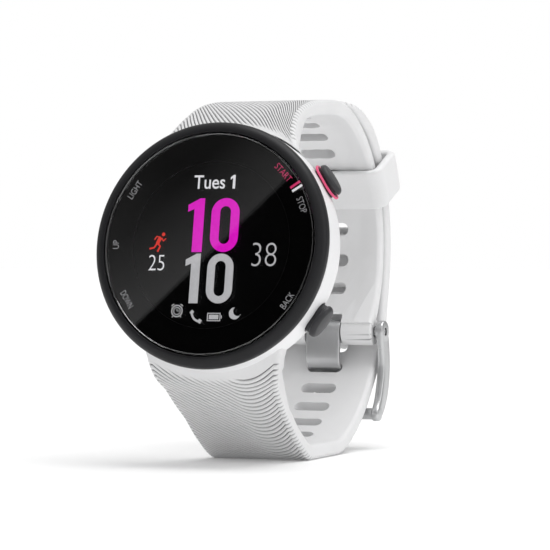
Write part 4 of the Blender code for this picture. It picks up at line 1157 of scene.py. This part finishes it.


# the labels' ink glows with painted light
labels = (("LIGHT", 147, 57, 3.1), ("UP", 180, 90, 1.35), ("DOWN", 213, -57, 3.0), ("BACK", -33, 57, 2.75))
for words, angle, turn, width in labels:
    place = onRing(dialLook["labelRadius"], angle, turn)
    textPiece("label_" + words.lower(), words, dialLook["labelHeight"], width, place, labelInkPaintedGlow, -0.006)
for words, angle, width, ink in (("START", 44.5, 3.5, pinkInkPaintedGlow), ("STOP", 22.5, 2.6, labelInkPaintedGlow)):
    place = onRing(dialLook["labelRadius"], angle, angle - 90)
    textPiece("label_" + words.lower(), words, dialLook["labelHeight"], width, place, ink, -0.012)
# the dashes are printed too, so their glow is painted light
for name, angle, ink in (("label_bar_pink", 34.6, pinkInkPaintedGlow), ("label_bar_white", 32.2, inkWhite)):
    dash = [(-0.95, -0.2), (0.95, -0.2), (0.95, 0.2), (-0.95, 0.2)]
    flatShape(name, [dash], onRing(16.6, angle, angle), ink)
print("dial made")


# ---- finishes of the pieces kept from the frame

finishes = {
    "dial_mask": resinBlack, "display_panel": displayPanel, "display_carrier": resinBlack,
    "lens_gasket": rubberDark, "main_board": circuitBoard, "antenna_ring": goldPlate,
    "battery_cell": cellWrap, "vibration_motor": steelSatin, "back_cover": resinWhite,
    "back_gasket": rubberDark, "sensor_board": circuitBoard, "sensor_window": sensorGlass,
    "upper_strap_pin": steelSatin, "lower_strap_pin": steelSatin, "spring_bar": steelSatin,
}
for name, node in frame["nodes"].items():
    finish = finishes.get(name)
    if name.startswith("back_cover_screw") or name.endswith("_switch"):
        finish = steelSatin
    elif name.startswith("charge_contact"):
        finish = goldPlate
    elif name.startswith("light_emitter"):
        finish = emitterGreen
    elif name.endswith("_button_seal"):
        finish = rubberDark
    if finish:
        paint(node, finish)


# ---- floor, light and camera

studio = {"azimuth": 21.65, "eye": (164.2, -413.7, 33.1), "rise": 0.38, "lens": 175.4, "ambient": 0.78}
eye = Vector(studio["eye"]) * mm
turn, rise = math.radians(studio["azimuth"]), math.radians(studio["rise"])
gaze = -Vector((math.sin(turn) * math.cos(rise), -math.cos(turn) * math.cos(rise), math.sin(rise)))
camera = bpy.data.objects.new("camera", bpy.data.cameras.new("camera"))
camera.data.lens = studio["lens"]
camera.data.sensor_width = 36
camera.data.clip_start = 0.01
camera.data.dof.use_dof = False
camera.location = eye
bpy.context.scene.view_settings.view_transform = "Standard"
camera.rotation_euler = gaze.to_track_quat("-Z", "Y").to_euler()
bpy.context.scene.collection.objects.link(camera)
bpy.context.scene.camera = camera

deselectAll()
bpy.ops.mesh.primitive_plane_add(size=12)
floor = bpy.context.object
floor.name = "floor"
material, shader, field = newMaterial("floor_pale", Emission_Color=(1.0, 1.0, 1.0), Emission_Strength=0.08)
field.feed(shader.inputs["Base Color"], field.noise(3).between((0.93, 0.93, 0.93), (0.95, 0.95, 0.95)))
field.feed(shader.inputs["Roughness"], field.noise(8).stretch(0.3, 0.7, 0.75, 0.85))
paint(floor, material)


def areaLight(name, place, target, size, power):
    light = bpy.data.lights.new(name, "AREA")
    light.shape = "RECTANGLE"
    light.size, light.size_y = size
    light.energy = power
    lamp = bpy.data.objects.new(name, light)
    lamp.location = Vector(place)
    lamp.rotation_euler = (Vector(target) - Vector(place)).to_track_quat("-Z", "Y").to_euler()
    bpy.context.scene.collection.objects.link(lamp)
    return lamp


middle = (0, 0, 0.03)
areaLight("right_box", (0.9, -0.15, 0.35), middle, (0.5, 0.7), 1.2)
sky = bpy.data.lights.new("top_sun", "SUN")
sky.energy = 1.6
sky.angle = math.radians(50)
skyLamp = bpy.data.objects.new("top_sun", sky)
skyLamp.rotation_euler = Vector((-0.25, -0.05, -1)).to_track_quat("-Z", "Y").to_euler()
bpy.context.scene.collection.objects.link(skyLamp)


def mirrorRay(x, up):
    # from a place on the glass, the way that the camera's line of sight leaves it
    spot = headMatrix @ Vector((x * mm, up * mm, lensTop))
    ray = (spot - eye).normalized()
    return spot, ray - 2 * ray.dot(faceNormal) * faceNormal


def onCard(x, up, middle, away):
    spot, ray = mirrorRay(x, up)
    return spot + ray * ((middle - spot).dot(away) / ray.dot(away))


def card(name, corner, right, up, size, strength, fade=None):
    deselectAll()
    bpy.ops.mesh.primitive_plane_add(size=1)
    plane = bpy.context.object
    plane.name = name
    matrix = Matrix((right, up, right.cross(up))).transposed().to_4x4()
    matrix.translation = corner
    middle = Matrix.Translation((size[0] / 2, size[1] / 2, 0))
    plane.matrix_world = matrix @ middle @ Matrix.Diagonal((*size, 1, 1))
    made = bpy.data.materials.new(name)
    made.use_nodes = True
    tree = made.node_tree
    tree.nodes.remove(tree.nodes["Principled BSDF"])
    value = Field(tree)
    glow = strength
    if fade:
        place = value.node("TexCoord", output="Object")
        inwards = value.node("SeparateXYZ", {0: place}, output=1)
        down = value.node("SeparateXYZ", {0: place}, output=0)
        glow = inwards.stretch(-0.5, fade, strength, strength * 0.22)
        glow = glow + down.stretch(-0.12, 0.05, 0, strength * 0.45)
    lit = value.node("Emission", {"Color": (1, 1, 1, 1), "Strength": glow})
    tree.links.new(lit.socket, tree.nodes["Material Output"].inputs["Surface"])
    paint(plane, made)
    for ray in ("camera", "diffuse", "shadow", "transmission", "volume_scatter"):
        setattr(plane, "visible_" + ray, False)
    return plane


# the glass mirrors a lit card over its upper left and a dark one over the rest
cardLook = {"away": 0.16, "gap": 0.01, "overrun": 0.06, "size": (0.2, 0.09), "lit": 0.17, "fade": -0.33,
            "dark": 0.006}
spot, away = mirrorRay(0, 0)
cardMiddle = spot + away * cardLook["away"]
edgeStart, edgeEnd = onCard(12.2, 10.1, cardMiddle, away), onCard(-11.7, -13.0, cardMiddle, away)
inside = onCard(-8, 8, cardMiddle, away)
along = (edgeEnd - edgeStart).normalized()
across = (inside - edgeStart) - along * (inside - edgeStart).dot(along)
across.normalize()
long, high = cardLook["size"]
litCorner = edgeStart - along * cardLook["overrun"]
darkCorner = cardMiddle + away * cardLook["gap"] - along * long / 2 - across * high
card("lit_card", litCorner, along, across, (long, high), cardLook["lit"], cardLook["fade"])
card("dark_card", darkCorner, along, across, (long, 2 * high), cardLook["dark"])

world = bpy.data.worlds.new("studio")
world.use_nodes = True
bpy.context.scene.world = world
tree = world.node_tree
room = Field(tree)
upward = room.node("SeparateXYZ", {0: room.node("TexCoord", output="Generated")}, output=2)
ambient = upward.stretch(0, 1, 0.45, 0.95) * studio["ambient"]
seen = room.node("LightPath", output="Is Camera Ray")
strength = seen + (1 - seen) * ambient
background = tree.nodes["Background"]
background.inputs["Color"].default_value = (1, 1, 1, 1)
tree.links.new(strength.socket, background.inputs["Strength"])
print("studio made")
